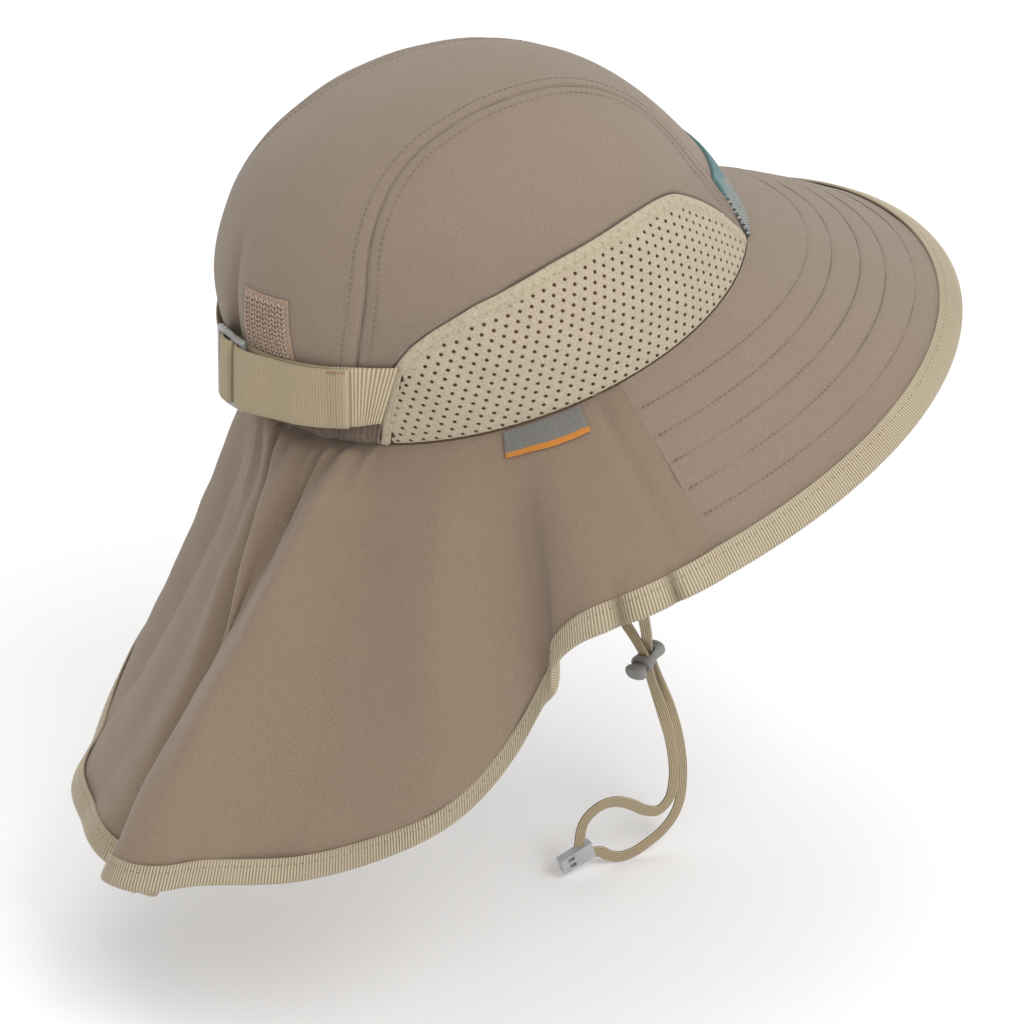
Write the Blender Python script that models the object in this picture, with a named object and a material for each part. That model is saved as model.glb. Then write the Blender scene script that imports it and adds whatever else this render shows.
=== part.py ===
"""Adventure hat: a cloth crown with mesh sides, a stitched brim, a gathered neck flap and a chin cord.

Metres, +Z up. The front of the brim looks along -Y and the wearer's right is -X. The origin is the
centre of the head opening, at the foot of the crown. The hat is pitched front up, as it is worn.
Hat coordinates below are those of the level hat; tilted() turns them into the part's own frame.
Angles round the crown run from 0 at the front over 90 on the wearer's right to 180 at the back.
"""
from math import atan2, ceil, cos, degrees, exp, hypot, pi, radians, sin, sqrt

import bmesh
import bpy
from mathutils import Vector

MM = 0.001

# Crown
HEAD_LENGTH = 200 * MM      # outside, front to back at the foot of the crown
HEAD_WIDTH = 180 * MM       # outside, side to side
CROWN_HEIGHT = 100 * MM
CROWN_ROUNDNESS = 2.26      # 2 is an ellipsoid, more is boxier
CROWN_LEAN = 0.14           # how far each level moves back, as a share of its height
CROWN_BACK_FULLNESS = 0.15  # the extra backward swell half way up
PITCH = radians(15.7)
CROWN_WALL = 1.2 * MM
MESH_WALL = 1.4 * MM
MESH_HEIGHT = 50 * MM
SEAM_GAP = 0.3 * MM         # between neighbouring cloth pieces
SIDE_START = 0.05           # how far up the middle panel the side panels begin
CREASE_DEPTH = 2.4 * MM     # the soft furrow above the strap
CREASE_HALF_WIDTH = 5 * MM
CREASE_OFFSET = 4 * MM      # from the back centre, towards the wearer's left

# Front band
BAND_HEIGHT = 33 * MM
BAND_SPAN = 31              # degrees to each side
BAND_WALL = 1.2 * MM

# Brim and neck flap
BRIM_FRONT_REACH = 78.2 * MM
BRIM_FRONT_DROP = 57 * MM
BRIM_SIDE_REACH = 48.4 * MM
BRIM_SIDE_DROP = 60.7 * MM
BRIM_ARCH = 4 * MM
BRIM_WALL = 2.4 * MM
BRIM_END = 90               # degrees, where the stitched brim meets the soft flap
FLAP_LENGTH = 185 * MM
FLAP_WALL = 1.0 * MM
FOLD_HEIGHT = 12 * MM
GATHER_HEIGHT = 1.6 * MM
GATHER_PITCH = 5.0          # degrees from one gather to the next
SKIRT_SETBACK = 0.6 * MM    # how far inside the crown's outline the brim and flap start
SKIRT_DIP = 1.0 * MM        # and how far under its foot

# Edge binding
BINDING_WIDTH = 9 * MM
BINDING_WALL = 0.8 * MM
BINDING_LIP = 0.5 * MM      # air between the cloth's edge and the fold of the binding
TAPE_ROW = 0.9              # the row of the brim's and flap's grids under the binding's top

# Elastic casing, adjusting strap and patch at the back
CASING_HEIGHT = 33.5 * MM
CASING_WALL = 2.2 * MM
CASING_RIPPLE = 0.7 * MM
STRAP_WIDTH = 25 * MM
STRAP_WALL = 1.2 * MM
STRAP_LEVEL = 22.5 * MM     # height of its middle above the foot of the crown
STRAP_CLEARANCE = 0.4 * MM
STRAP_REACH = 63 * MM       # from the back centre to where it is sewn in, along the crown
OVERLAY_REACH = 56 * MM     # from the back centre to the folded end of the upper layer
SLIDER_LENGTH = 20 * MM
SLIDER_HEIGHT = 30 * MM
SLIDER_WALL = 2.0 * MM
SLIDER_BAR = 2.5 * MM
SLIDER_CENTRE_BAR = 3.6 * MM
STRAP_ROLL = 0.7 * MM       # air between the slider's bars and the strap that rolls round them
PATCH_WIDTH = 25 * MM
PATCH_HEIGHT = 25 * MM
PATCH_WALL = 1.2 * MM
PATCH_OFFSET = 19.5 * MM    # from the back centre to its middle, towards the wearer's right
PATCH_LEVEL = 48 * MM

# Side label
LABEL_LENGTH = 30 * MM
LABEL_HEIGHT = 10 * MM
LABEL_WALL = 0.8 * MM
LABEL_ANGLE = 106.5
LABEL_SETBACK = 2.5 * MM    # from the foot of the crown

# Chin cord and its fittings
CORD_DIAMETER = 2.6 * MM
CORD_STEP = 8 * MM          # from one point of the tube to the next
EAR_ANGLE = 95
CORD_TUCK = 9 * MM          # how far its end is sewn up inside the crown
CORD_WALL_GAP = 0.4 * MM
LOCK_WIDTH = 10 * MM
LOCK_DEPTH = 7.2 * MM
LOCK_WALL = 0.9 * MM
LOCK_FIT = 0.35 * MM        # air round the button's stem
LOCK_TRAVEL = 2.0 * MM
LOCK_SLOT_WIDTH = 5.6 * MM
LOCK_SIDE = 2.8 * MM        # barrel past the slot on the button's side
LOCK_END_WALL = 1.0 * MM
BUTTON_CAP = 2.6 * MM
CLIP_LENGTH = 15.5 * MM
CLIP_WIDTH = 8 * MM
CLIP_THICKNESS = 4 * MM
CLIP_WINDOW = (3.0 * MM, 2.0 * MM)
CLIP_RAIL = 1.3 * MM        # outside the windows
CLIP_END_BAR = 3.2 * MM
CLIP_TAPER = 0.12           # how much narrower its far end is
TOUCH = 0.3 * MM            # air between faces that touch

HALF_LENGTH = HEAD_LENGTH / 2
HALF_WIDTH = HEAD_WIDTH / 2

# Half width of the crown's middle panel, as a share of half the head width, from the front foot
# of the crown over the top to the back.
MIDDLE_PANEL = (
    # way, half_width
    (0.00, 0.515),
    (0.16, 0.480),
    (0.24, 0.345),
    (0.33, 0.300),
    (0.44, 0.330),
    (0.54, 0.360),
    (0.65, 0.410),
    (0.77, 0.520),
    (0.85, 0.590),
    (0.92, 0.610),
    (1.00, 0.600),
)

# Height of the mesh panel as a share of MESH_HEIGHT, along its foot from front to back.
MESH_TOP = (
    # way, height
    (0.000, 0.12),
    (0.035, 0.40),
    (0.080, 0.64),
    (0.150, 0.85),
    (0.220, 0.92),
    (0.310, 0.96),
    (0.460, 1.02),
    (0.580, 1.06),
    (0.740, 1.06),
    (0.860, 1.01),
    (0.940, 0.88),
    (1.000, 0.67),
)
MESH_FRONT = 32.3           # degrees
MESH_BACK_FOOT = 146
MESH_BACK_TOP = 139.5

# The flap's hem seen from the foot of the crown, as shares of FLAP_LENGTH: how far it stands out,
# how far it swings forward on the right and back on the left, how far it hangs down, and how much
# the cloth bellies out half way, or where it is negative, how far it falls in under the crown
# before it flares. The first and last rows come from the brim.
FLAP_HEM = (
    # angle, out, swing, down, belly
    (96, 0.270, 0.080, 0.320, 0.024),
    (102, 0.260, 0.045, 0.340, 0.030),
    (107, 0.240, 0.010, 0.370, 0.035),
    (110, 0.222, -0.006, 0.425, 0.035),
    (114, 0.208, 0.018, 0.515, 0.038),
    (120, 0.202, 0.048, 0.605, 0.040),
    (128, 0.210, 0.050, 0.710, 0.040),
    (138, 0.235, 0.040, 0.785, 0.040),
    (150, 0.300, 0.010, 0.845, 0.035),
    (160, 0.410, -0.010, 0.860, 0.030),
    (166, 0.485, 0.000, 0.860, 0.025),
    (170, 0.500, -0.020, 0.865, 0.015),
    (175, 0.385, 0.030, 0.965, -0.020),
    (181, 0.425, 0.000, 0.935, -0.025),
    (190, 0.420, -0.010, 0.940, -0.035),
    (200, 0.410, 0.000, 0.955, -0.050),
    (210, 0.385, 0.010, 0.950, -0.038),
    (222, 0.330, 0.010, 0.870, -0.020),
    (234, 0.260, -0.020, 0.740, -0.008),
    (241, 0.215, -0.040, 0.600, 0.005),
    (247, 0.210, -0.018, 0.490, 0.038),
    (251, 0.226, -0.002, 0.405, 0.035),
    (258, 0.260, -0.045, 0.340, 0.030),
    (264, 0.268, -0.080, 0.322, 0.024),
)

# Folds that run down the flap: the angle where each starts at the crown and ends at the hem, its
# height as a share of FOLD_HEIGHT, its half width in degrees, and where it is at full height.
FLAP_FOLDS = (
    # top_angle, hem_angle, height, half_width, from_way, to_way
    (118, 113, -0.45, 7.0, 0.45, 1.00),
    (130, 134, 0.45, 9.0, 0.30, 0.90),
    (149, 168, 0.80, 6.0, 0.20, 0.75),
    (157, 176, -0.55, 6.0, 0.25, 0.80),
    (168, 184, 0.40, 5.0, 0.15, 0.45),
    (180, 190, -0.30, 6.0, 0.15, 0.60),
    (196, 199, 0.15, 7.0, 0.20, 0.85),
    (208, 210, -0.40, 6.0, 0.20, 0.75),
    (226, 223, 0.15, 8.0, 0.30, 0.90),
    (241, 246, -0.40, 7.0, 0.45, 1.00),
)
GATHER_SPAN = (147, 213)    # degrees, the gathered stretch under the elastic
GATHER_FADE = 0.30          # share of the flap's length over which the gathers run out

# Route of each half of the chin cord under the crown, chosen by hand, in mm: sideways towards its
# own ear, then Y and Z. The tube starts inside the crown and ends in the cord-end clip.
LOCK_POINT = Vector((0, -70.8, -180.6)) * MM
LEFT_ROUTE = (
    (71.0, -4.5, -33.0), (53.0, -20.0, -68.0), (35.5, -36.5, -104.0), (18.5, -52.5, -140.0),
    (7.5, -62.6, -163.5), (2.2, -66.9, -173.6), (-0.64, -69.6, -181.1), (-0.6, -72.7, -192.0),
    (-0.2, -78.3, -208.4), (0, -82.4, -222.6), (0, -84.7, -235.6), (0, -84.8, -244.5),
    (0, -83.0, -252.8), (0, -77.6, -257.2), (0, -70.8, -255.0), (0, -63.8, -250.0),
    (0, -56.6, -246.5), (0, -49.8, -246.2), (0, -43.6, -249.2), (0, -40.2, -254.2),
)
RIGHT_ROUTE = (
    (71.0, -4.5, -33.0), (52.8, -21.0, -68.0), (35.2, -38.2, -104.0), (17.8, -55.2, -140.0),
    (6.5, -65.6, -163.5), (1.2, -69.6, -173.0), (-0.64, -72.0, -180.1), (-0.6, -75.8, -191.0),
    (-0.2, -81.8, -207.4), (0, -86.1, -221.8), (0, -88.6, -235.8), (0, -89.0, -246.5),
    (0, -88.0, -255.8), (0, -84.8, -262.8), (0, -79.6, -268.0), (0, -73.0, -271.6),
    (0, -66.0, -274.2), (0, -59.2, -274.4), (0, -53.4, -272.0), (0, -49.4, -268.9),
)
LOCK_ALONG = Vector((0, -0.35, -0.937)).normalized()       # the way the cord runs through it
LOCK_AXIS = Vector((0.44, -0.84, 0.314)).normalized()      # from the button to the closed end
CLIP_AXIS = Vector((0, 0.956, -0.293)).normalized()        # from its mouth to its far end
CLIP_MOUTH = Vector((0, -45.0, -265.4)) * MM


def clear_scene():
    for item in list(bpy.data.objects):
        bpy.data.objects.remove(item)


def material(name, colour, roughness, metallic=0.0):
    made = bpy.data.materials.new(name)
    made.use_nodes = True
    shader = made.node_tree.nodes["Principled BSDF"]
    shader.inputs["Base Color"].default_value = (*colour, 1)
    shader.inputs["Roughness"].default_value = roughness
    shader.inputs["Metallic"].default_value = metallic
    return made


def new_object(name, points, faces, finish):
    """A closed body from corner points and faces, with its faces turned outwards."""
    mesh = bpy.data.meshes.new(name)
    body = bmesh.new()
    corners = [body.verts.new(point) for point in points]
    for face in faces:
        body.faces.new([corners[index] for index in face])
    bmesh.ops.recalc_face_normals(body, faces=body.faces)
    body.to_mesh(mesh)
    body.free()
    mesh.materials.append(finish)
    mesh.shade_smooth()
    mesh.set_sharp_from_angle(angle=radians(40))
    made = bpy.data.objects.new(name, mesh)
    bpy.context.collection.objects.link(made)
    return made


def steps(first, last, count):
    return [first + (last - first) * index / count for index in range(count + 1)]


def smooth_step(low, high, value):
    way = min(max((value - low) / (high - low), 0), 1)
    return way * way * (3 - 2 * way)


def read_table(rows, place, column):
    """A column of a table at any place, on a smooth curve through its rows."""
    if place <= rows[0][0]:
        return rows[0][column]
    if place >= rows[-1][0]:
        return rows[-1][column]
    index = max(number for number, row in enumerate(rows[:-1]) if row[0] <= place)
    here, there = rows[index], rows[index + 1]
    span = there[0] - here[0]
    way = (place - here[0]) / span

    def slope(at):
        if at == 0 or at == len(rows) - 1:
            return (there[column] - here[column]) / span
        before, after = rows[at - 1], rows[at + 1]
        return (after[column] - before[column]) / (after[0] - before[0])

    start, end = slope(index) * span, slope(index + 1) * span
    square, cube = way ** 2, way ** 3
    return ((2 * cube - 3 * square + 1) * here[column] + (cube - 2 * square + way) * start
            + (3 * square - 2 * cube) * there[column] + (cube - square) * end)


def tilted(point):
    """From the level hat's coordinates to the part's own frame."""
    return Vector((point[0], point[1] * cos(PITCH) + point[2] * sin(PITCH),
                   point[2] * cos(PITCH) - point[1] * sin(PITCH)))


# The crown's surface, a rounded dome. Dome shares run from -1 to 1 across and front to back, and
# from 0 to 1 upwards.

def dome_level(share):
    flat = share[0] ** 2 + share[1] ** 2
    return flat ** (CROWN_ROUNDNESS / 2) + max(share[2], 0) ** CROWN_ROUNDNESS


def onto_dome(share):
    return share / dome_level(share) ** (1 / CROWN_ROUNDNESS)


def dome_outwards(share):
    power = CROWN_ROUNDNESS
    flat = max(share[0] ** 2 + share[1] ** 2, 1e-12)
    side = flat ** (power / 2 - 1)
    return Vector((side * share[0] / HALF_WIDTH, side * share[1] / HALF_LENGTH,
                   max(share[2], 0) ** (power - 1) / CROWN_HEIGHT)).normalized()


def crown_point(share, depth):
    """The point of the crown at these dome shares, depth outside its outer face."""
    place = Vector((share[0] * HALF_WIDTH, share[1] * HALF_LENGTH, share[2] * CROWN_HEIGHT))
    place += dome_outwards(share) * depth
    height = place.z
    place.y += CROWN_LEAN * height + CROWN_BACK_FULLNESS * height * (1 - height / CROWN_HEIGHT)
    return tilted(place)


def ring_share(angle, height):
    """Dome shares at an angle round the crown and a height above its foot."""
    rise = height / CROWN_HEIGHT
    reach = (1 - max(rise, 0) ** CROWN_ROUNDNESS) ** (1 / CROWN_ROUNDNESS)
    turn = radians(angle)
    return Vector((-sin(turn) * reach, -cos(turn) * reach, rise))


def ring_point(angle, height, depth):
    return crown_point(ring_share(angle, height), depth)


def arch_share(across, lean_angle):
    """Dome shares at a share across the crown and an angle over the top, front to back."""
    low, high = 0.0, 1.5
    for _ in range(40):
        reach = (low + high) / 2
        if dome_level((across, reach * cos(lean_angle), reach * sin(lean_angle))) > 1:
            high = reach
        else:
            low = reach
    return Vector((across, -low * cos(lean_angle), low * sin(lean_angle)))


def foot_angle(across, height):
    """The angle over the top at which a line across the crown meets a height at its front."""
    rise = height / CROWN_HEIGHT
    reach = (1 - rise ** CROWN_ROUNDNESS) ** (2 / CROWN_ROUNDNESS) - across ** 2
    return atan2(rise, sqrt(max(reach, 1e-9)))


def middle_share(way, side):
    """Dome shares on the middle panel: way from front to back, side from -1 right to 1 left."""
    across = side * read_table(MIDDLE_PANEL, way, 1)
    front = foot_angle(across, SEAM_GAP)
    back = pi - foot_angle(across, CASING_HEIGHT + SEAM_GAP)
    return arch_share(across, front + (back - front) * way)


def wall(name, surface, ways, sides, outer, inner, finish):
    """A thin closed wall: a grid on the outer face, one on the inner face and rims between."""
    columns, rows = len(ways), len(sides)
    points = [surface(way, side, depth) for depth in (outer, inner) for way in ways for side in sides]
    layer = columns * rows
    faces = []

    def corner(column, row, level):
        return level * layer + column * rows + row

    def panel(one, two, three, four):
        faces.append((one, two, three))
        faces.append((one, three, four))

    for column in range(columns - 1):
        for row in range(rows - 1):
            for level in (0, 1):
                panel(corner(column, row, level), corner(column + 1, row, level),
                      corner(column + 1, row + 1, level), corner(column, row + 1, level))
    for column in range(columns - 1):
        for row in (0, rows - 1):
            panel(corner(column, row, 0), corner(column + 1, row, 0),
                  corner(column + 1, row, 1), corner(column, row, 1))
    for row in range(rows - 1):
        for column in (0, columns - 1):
            panel(corner(column, row, 0), corner(column, row + 1, 0),
                  corner(column, row + 1, 1), corner(column, row, 1))
    return new_object(name, points, faces, finish)


def loft(name, sections, finish, turned=()):
    """A closed body through equal rings of points, with flat ends; turned sides split the other way."""
    ring = len(sections[0])
    points = [point for section in sections for point in section]
    faces = []
    for number in range(len(sections) - 1):
        for index in range(ring):
            after = (index + 1) % ring
            one, two = number * ring + index, number * ring + after
            three, four = two + ring, one + ring
            if index in turned:
                one, two, three, four = two, three, four, one
            faces.append((one, two, three))
            faces.append((one, three, four))
    faces.append(tuple(range(ring)))
    faces.append(tuple(range((len(sections) - 1) * ring, len(points))))
    return new_object(name, points, faces, finish)


def crease(across, lean_angle):
    """The soft furrow in the back of the crown, just above the strap."""
    place = (across * HALF_WIDTH - CREASE_OFFSET) / CREASE_HALF_WIDTH
    height = degrees(pi - lean_angle)
    return -CREASE_DEPTH * exp(-place ** 2) * smooth_step(50, 28, height) * smooth_step(16, 24, height)


def build_crown(cloth, mesh_cloth, webbing):
    wall_inside = -CROWN_WALL

    def middle(way, side, depth):
        share = middle_share(way, side)
        lean_angle = atan2(share[2], -share[1])
        return crown_point(share, depth + crease(share[0], lean_angle))

    half = (SEAM_GAP / 2) / (HALF_WIDTH * MIDDLE_PANEL[4][1])
    side_ways = [way ** 1.35 for way in steps(0, 1, 20)]
    middle_ways = [0, SIDE_START / 2] + [SIDE_START + (1 - SIDE_START) * way for way in side_ways]
    wall("crown_centre_panel", middle, middle_ways, steps(-1 + half, 1 - half, 10),
         0, wall_inside, cloth)

    def mesh_share(way, rise, lift=0):
        back = MESH_BACK_FOOT + (MESH_BACK_TOP - MESH_BACK_FOOT) * rise
        top = read_table(MESH_TOP, way, 1) * MESH_HEIGHT + lift
        return ring_share(MESH_FRONT + (back - MESH_FRONT) * way, SEAM_GAP + rise * (top - SEAM_GAP))

    def side_share(way, rise):
        low = mesh_share(way, 1, 2 * SEAM_GAP)
        high = middle_share(SIDE_START + (1 - SIDE_START) * way, -1)
        margin = SEAM_GAP / max((high - low).length * HALF_WIDTH, SEAM_GAP * 3)
        return onto_dome(low.lerp(high, (1 - margin) * rise))

    for side, name in ((1, "right"), (-1, "left")):
        def mirrored(share, mirror=side):
            return Vector((share[0] * mirror, share[1], share[2]))

        def mesh_surface(way, rise, depth):
            return crown_point(mirrored(mesh_share(way, rise)), depth)

        def side_surface(way, rise, depth):
            return crown_point(mirrored(side_share(way, rise)), depth)

        wall("mesh_panel_" + name, mesh_surface, side_ways, steps(0, 1, 5), 0, -MESH_WALL, mesh_cloth)
        wall("crown_side_panel_" + name, side_surface, side_ways, steps(0, 1, 5), 0, wall_inside, cloth)

    def band(angle, height, depth):
        return ring_point(angle, height, depth)

    wall("front_band", band, steps(-BAND_SPAN, BAND_SPAN, 14), steps(SEAM_GAP, BAND_HEIGHT, 3),
         TOUCH + BAND_WALL, TOUCH, webbing)


# The brim and the flap hang from one curve, the foot of the crown.

def outwards(angle):
    turn = radians(angle)
    return Vector((-sin(turn) * HALF_LENGTH, -cos(turn) * HALF_WIDTH, 0)).normalized()


def foot_point(angle):
    turn = radians(angle)
    level = Vector((-sin(turn) * HALF_WIDTH, -cos(turn) * HALF_LENGTH, -SKIRT_DIP))
    return tilted(level - outwards(angle) * SKIRT_SETBACK)


def brim_share(angle):
    return cos(radians(angle)) ** 2


def brim_parts(angle):
    share = brim_share(angle)
    reach = BRIM_SIDE_REACH + (BRIM_FRONT_REACH - BRIM_SIDE_REACH) * share
    drop = BRIM_SIDE_DROP + (BRIM_FRONT_DROP - BRIM_SIDE_DROP) * share
    return tilted(outwards(angle) * reach), tilted(Vector((0, 0, -drop))), BRIM_ARCH


def flap_rows():
    """The hem table with its first and last rows worked out from the brim's end."""
    reach, drop, arch = brim_parts(BRIM_END)
    first = (BRIM_END, reach.length / FLAP_LENGTH, -drop.y / FLAP_LENGTH, -drop.z / FLAP_LENGTH,
             arch / FLAP_LENGTH)
    last = (360 - BRIM_END, first[1], -first[2], first[3], first[4])
    return (first,) + FLAP_HEM + (last,)


FLAP_ROWS = flap_rows()


def flap_parts(angle):
    out, swing, down, belly = [read_table(FLAP_ROWS, angle, column) * FLAP_LENGTH
                               for column in (1, 2, 3, 4)]
    away = outwards(angle)
    sideways = Vector((-away.y, away.x, 0))
    return away * out + sideways * swing, Vector((0, 0, -down)), belly


def skirt_base(angle, way):
    """The middle of the brim or flap cloth before its folds: way runs from crown to edge."""
    on_brim = -BRIM_END <= angle <= BRIM_END
    reach, drop, arch = brim_parts(angle) if on_brim else flap_parts(angle)
    rise = way if arch > 0 else sqrt(way)
    bow = 4 * rise * (1 - way)
    return foot_point(angle) + reach * way + drop * way + outwards(angle) * arch * bow


def normal_of(surface, angle, way):
    small, short = 0.4, 0.01
    along = surface(angle + small, way) - surface(angle - small, way)
    down = surface(angle, min(way + short, 1)) - surface(angle, max(way - short, 0))
    facing = down.cross(along).normalized()
    return facing if facing.dot(outwards(angle) + Vector((0, 0, 0.5))) > 0 else -facing


def fold_lift(angle, way):
    lift = 0
    for top_angle, hem_angle, height, half_width, start, full in FLAP_FOLDS:
        middle = top_angle + (hem_angle - top_angle) * way
        grown = smooth_step(0, start, way)
        if full < 1:
            grown *= 1 - 0.5 * smooth_step(full, 1, way)
        spread = abs(angle - middle) / half_width
        lift += FOLD_HEIGHT * height * grown * exp(-spread ** 1.6)
    first, last = GATHER_SPAN
    if first < angle < last:
        edge = smooth_step(first, first + 6, angle) * smooth_step(last, last - 6, angle)
        fade = exp(-(way / GATHER_FADE) ** 2) * (0.35 + 0.65 * smooth_step(0, 0.06, way))
        lift += GATHER_HEIGHT * edge * fade * cos(2 * pi * (angle - first) / GATHER_PITCH)
    return lift


def skirt_middle(angle, way):
    base = skirt_base(angle, way)
    if -BRIM_END <= angle <= BRIM_END:
        return base
    ends = smooth_step(BRIM_END, BRIM_END + 8, angle) * smooth_step(360 - BRIM_END, 352 - BRIM_END, angle)
    return base + normal_of(skirt_base, angle, way) * fold_lift(angle, way) * ends


def edge_length(angle):
    return (skirt_middle(angle, 1) - skirt_middle(angle, 0.9)).length * 10


def binding_top(angle):
    return 1 - BINDING_WIDTH / edge_length(angle)


def skirt(angle, row, depth):
    """The brim or flap at a row of its grid, where row TAPE_ROW lies under the binding's top."""
    start = binding_top(angle)
    if row <= TAPE_ROW:
        way = row * start / TAPE_ROW
    else:
        way = start + (row - TAPE_ROW) * (1 - start) / (1 - TAPE_ROW)
    return skirt_middle(angle, way) + normal_of(skirt_middle, angle, way) * depth


def brim_angles():
    return steps(-BRIM_END + 0.1, BRIM_END - 0.1, 30)


def flap_angles():
    return steps(BRIM_END + 0.1, 360 - BRIM_END - 0.1, 72)


def build_skirt(cloth, tape, tag):
    wall("brim", skirt, brim_angles(), steps(0, TAPE_ROW, 4) + [1],
         BRIM_WALL / 2, -BRIM_WALL / 2, cloth)
    rows = [0, 0.05, 0.13, 0.24, 0.37, 0.51, 0.65, 0.78, TAPE_ROW, 1]
    wall("neck_flap", skirt, flap_angles(), rows, FLAP_WALL / 2, -FLAP_WALL / 2, cloth)

    def binding_section(angle, half):
        start = binding_top(angle)
        top, edge = skirt_middle(angle, start), skirt_middle(angle, 1)
        down = (edge - top).normalized()
        top_out, edge_out = normal_of(skirt_middle, angle, start), normal_of(skirt_middle, angle, 1)
        inner = half + TOUCH
        outer = inner + BINDING_WALL
        inner_edge, outer_edge = edge + down * BINDING_LIP, edge + down * (BINDING_LIP + BINDING_WALL)
        return [top + top_out * outer, outer_edge + edge_out * outer * 0.8,
                outer_edge - edge_out * outer * 0.8, top - top_out * outer, top - top_out * inner,
                inner_edge - edge_out * inner, inner_edge + edge_out * inner, top + top_out * inner]

    for name, angles, half in (("brim_binding", brim_angles(), BRIM_WALL / 2),
                               ("flap_binding", flap_angles(), FLAP_WALL / 2)):
        loft(name, [binding_section(angle, half) for angle in angles], tape, turned=(2, 6))

    def tag_surface(angle, fall, depth):
        way = fall / edge_length(angle)
        return skirt_middle(angle, way) + normal_of(skirt_middle, angle, way) * depth

    turn = degrees(LABEL_LENGTH / 2 / HALF_LENGTH)
    wall("side_label", tag_surface, steps(LABEL_ANGLE - turn, LABEL_ANGLE + turn, 6),
         steps(LABEL_SETBACK, LABEL_SETBACK + LABEL_HEIGHT, 2),
         FLAP_WALL / 2 + TOUCH + LABEL_WALL, FLAP_WALL / 2 + TOUCH, tag)


# The back of the crown: along is measured round it from the back centre, positive to the left.

def back_angle(along, height):
    angle, travelled, step = 180.0, 0.0, 0.5
    scale = ring_share(180, height).y
    while travelled < abs(along):
        turn = radians(angle)
        travelled += hypot(cos(turn) * HALF_WIDTH, sin(turn) * HALF_LENGTH) * scale * radians(step)
        angle += step
    angle -= step * (travelled - abs(along)) / (HALF_WIDTH * scale * radians(step))
    return 180 + (angle - 180) * (1 if along > 0 else -1)


def strap_frame(along, depth):
    """A place in the strap's middle over the back of the crown, and the way up the crown there."""
    angle = back_angle(along, STRAP_LEVEL)
    up = ring_point(angle, STRAP_LEVEL + MM, depth) - ring_point(angle, STRAP_LEVEL - MM, depth)
    return ring_point(angle, STRAP_LEVEL, depth), up.normalized()


def build_casing(cloth):
    ripples = 22

    def surface(way, height, depth):
        slant = (MESH_BACK_TOP - MESH_BACK_FOOT) * height / (MESH_TOP[-1][1] * MESH_HEIGHT)
        first = MESH_BACK_FOOT + 0.4 + slant
        angle = first + (360 - 2 * first) * way
        dip = CASING_RIPPLE * (0.5 - 0.5 * cos(2 * pi * ripples * way))
        return ring_point(angle, height, depth - dip)

    wall("elastic_casing", surface, steps(0, 1, ripples * 2), steps(SEAM_GAP, CASING_HEIGHT, 2),
         0, -CASING_WALL + CASING_RIPPLE, cloth)


def ribbon(name, path, finish):
    """Flat webbing along a path of (along, depth) places over the back of the crown."""
    frames = [strap_frame(along, depth) for along, depth in path]
    sections = []
    for number, (centre, up) in enumerate(frames):
        before, after = frames[max(number - 1, 0)][0], frames[min(number + 1, len(path) - 1)][0]
        across = (after - before).cross(up).normalized() * STRAP_WALL / 2
        half = up * STRAP_WIDTH / 2
        sections.append([centre - half - across, centre + half - across,
                         centre + half + across, centre - half + across])
    return loft(name, sections, finish)


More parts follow.
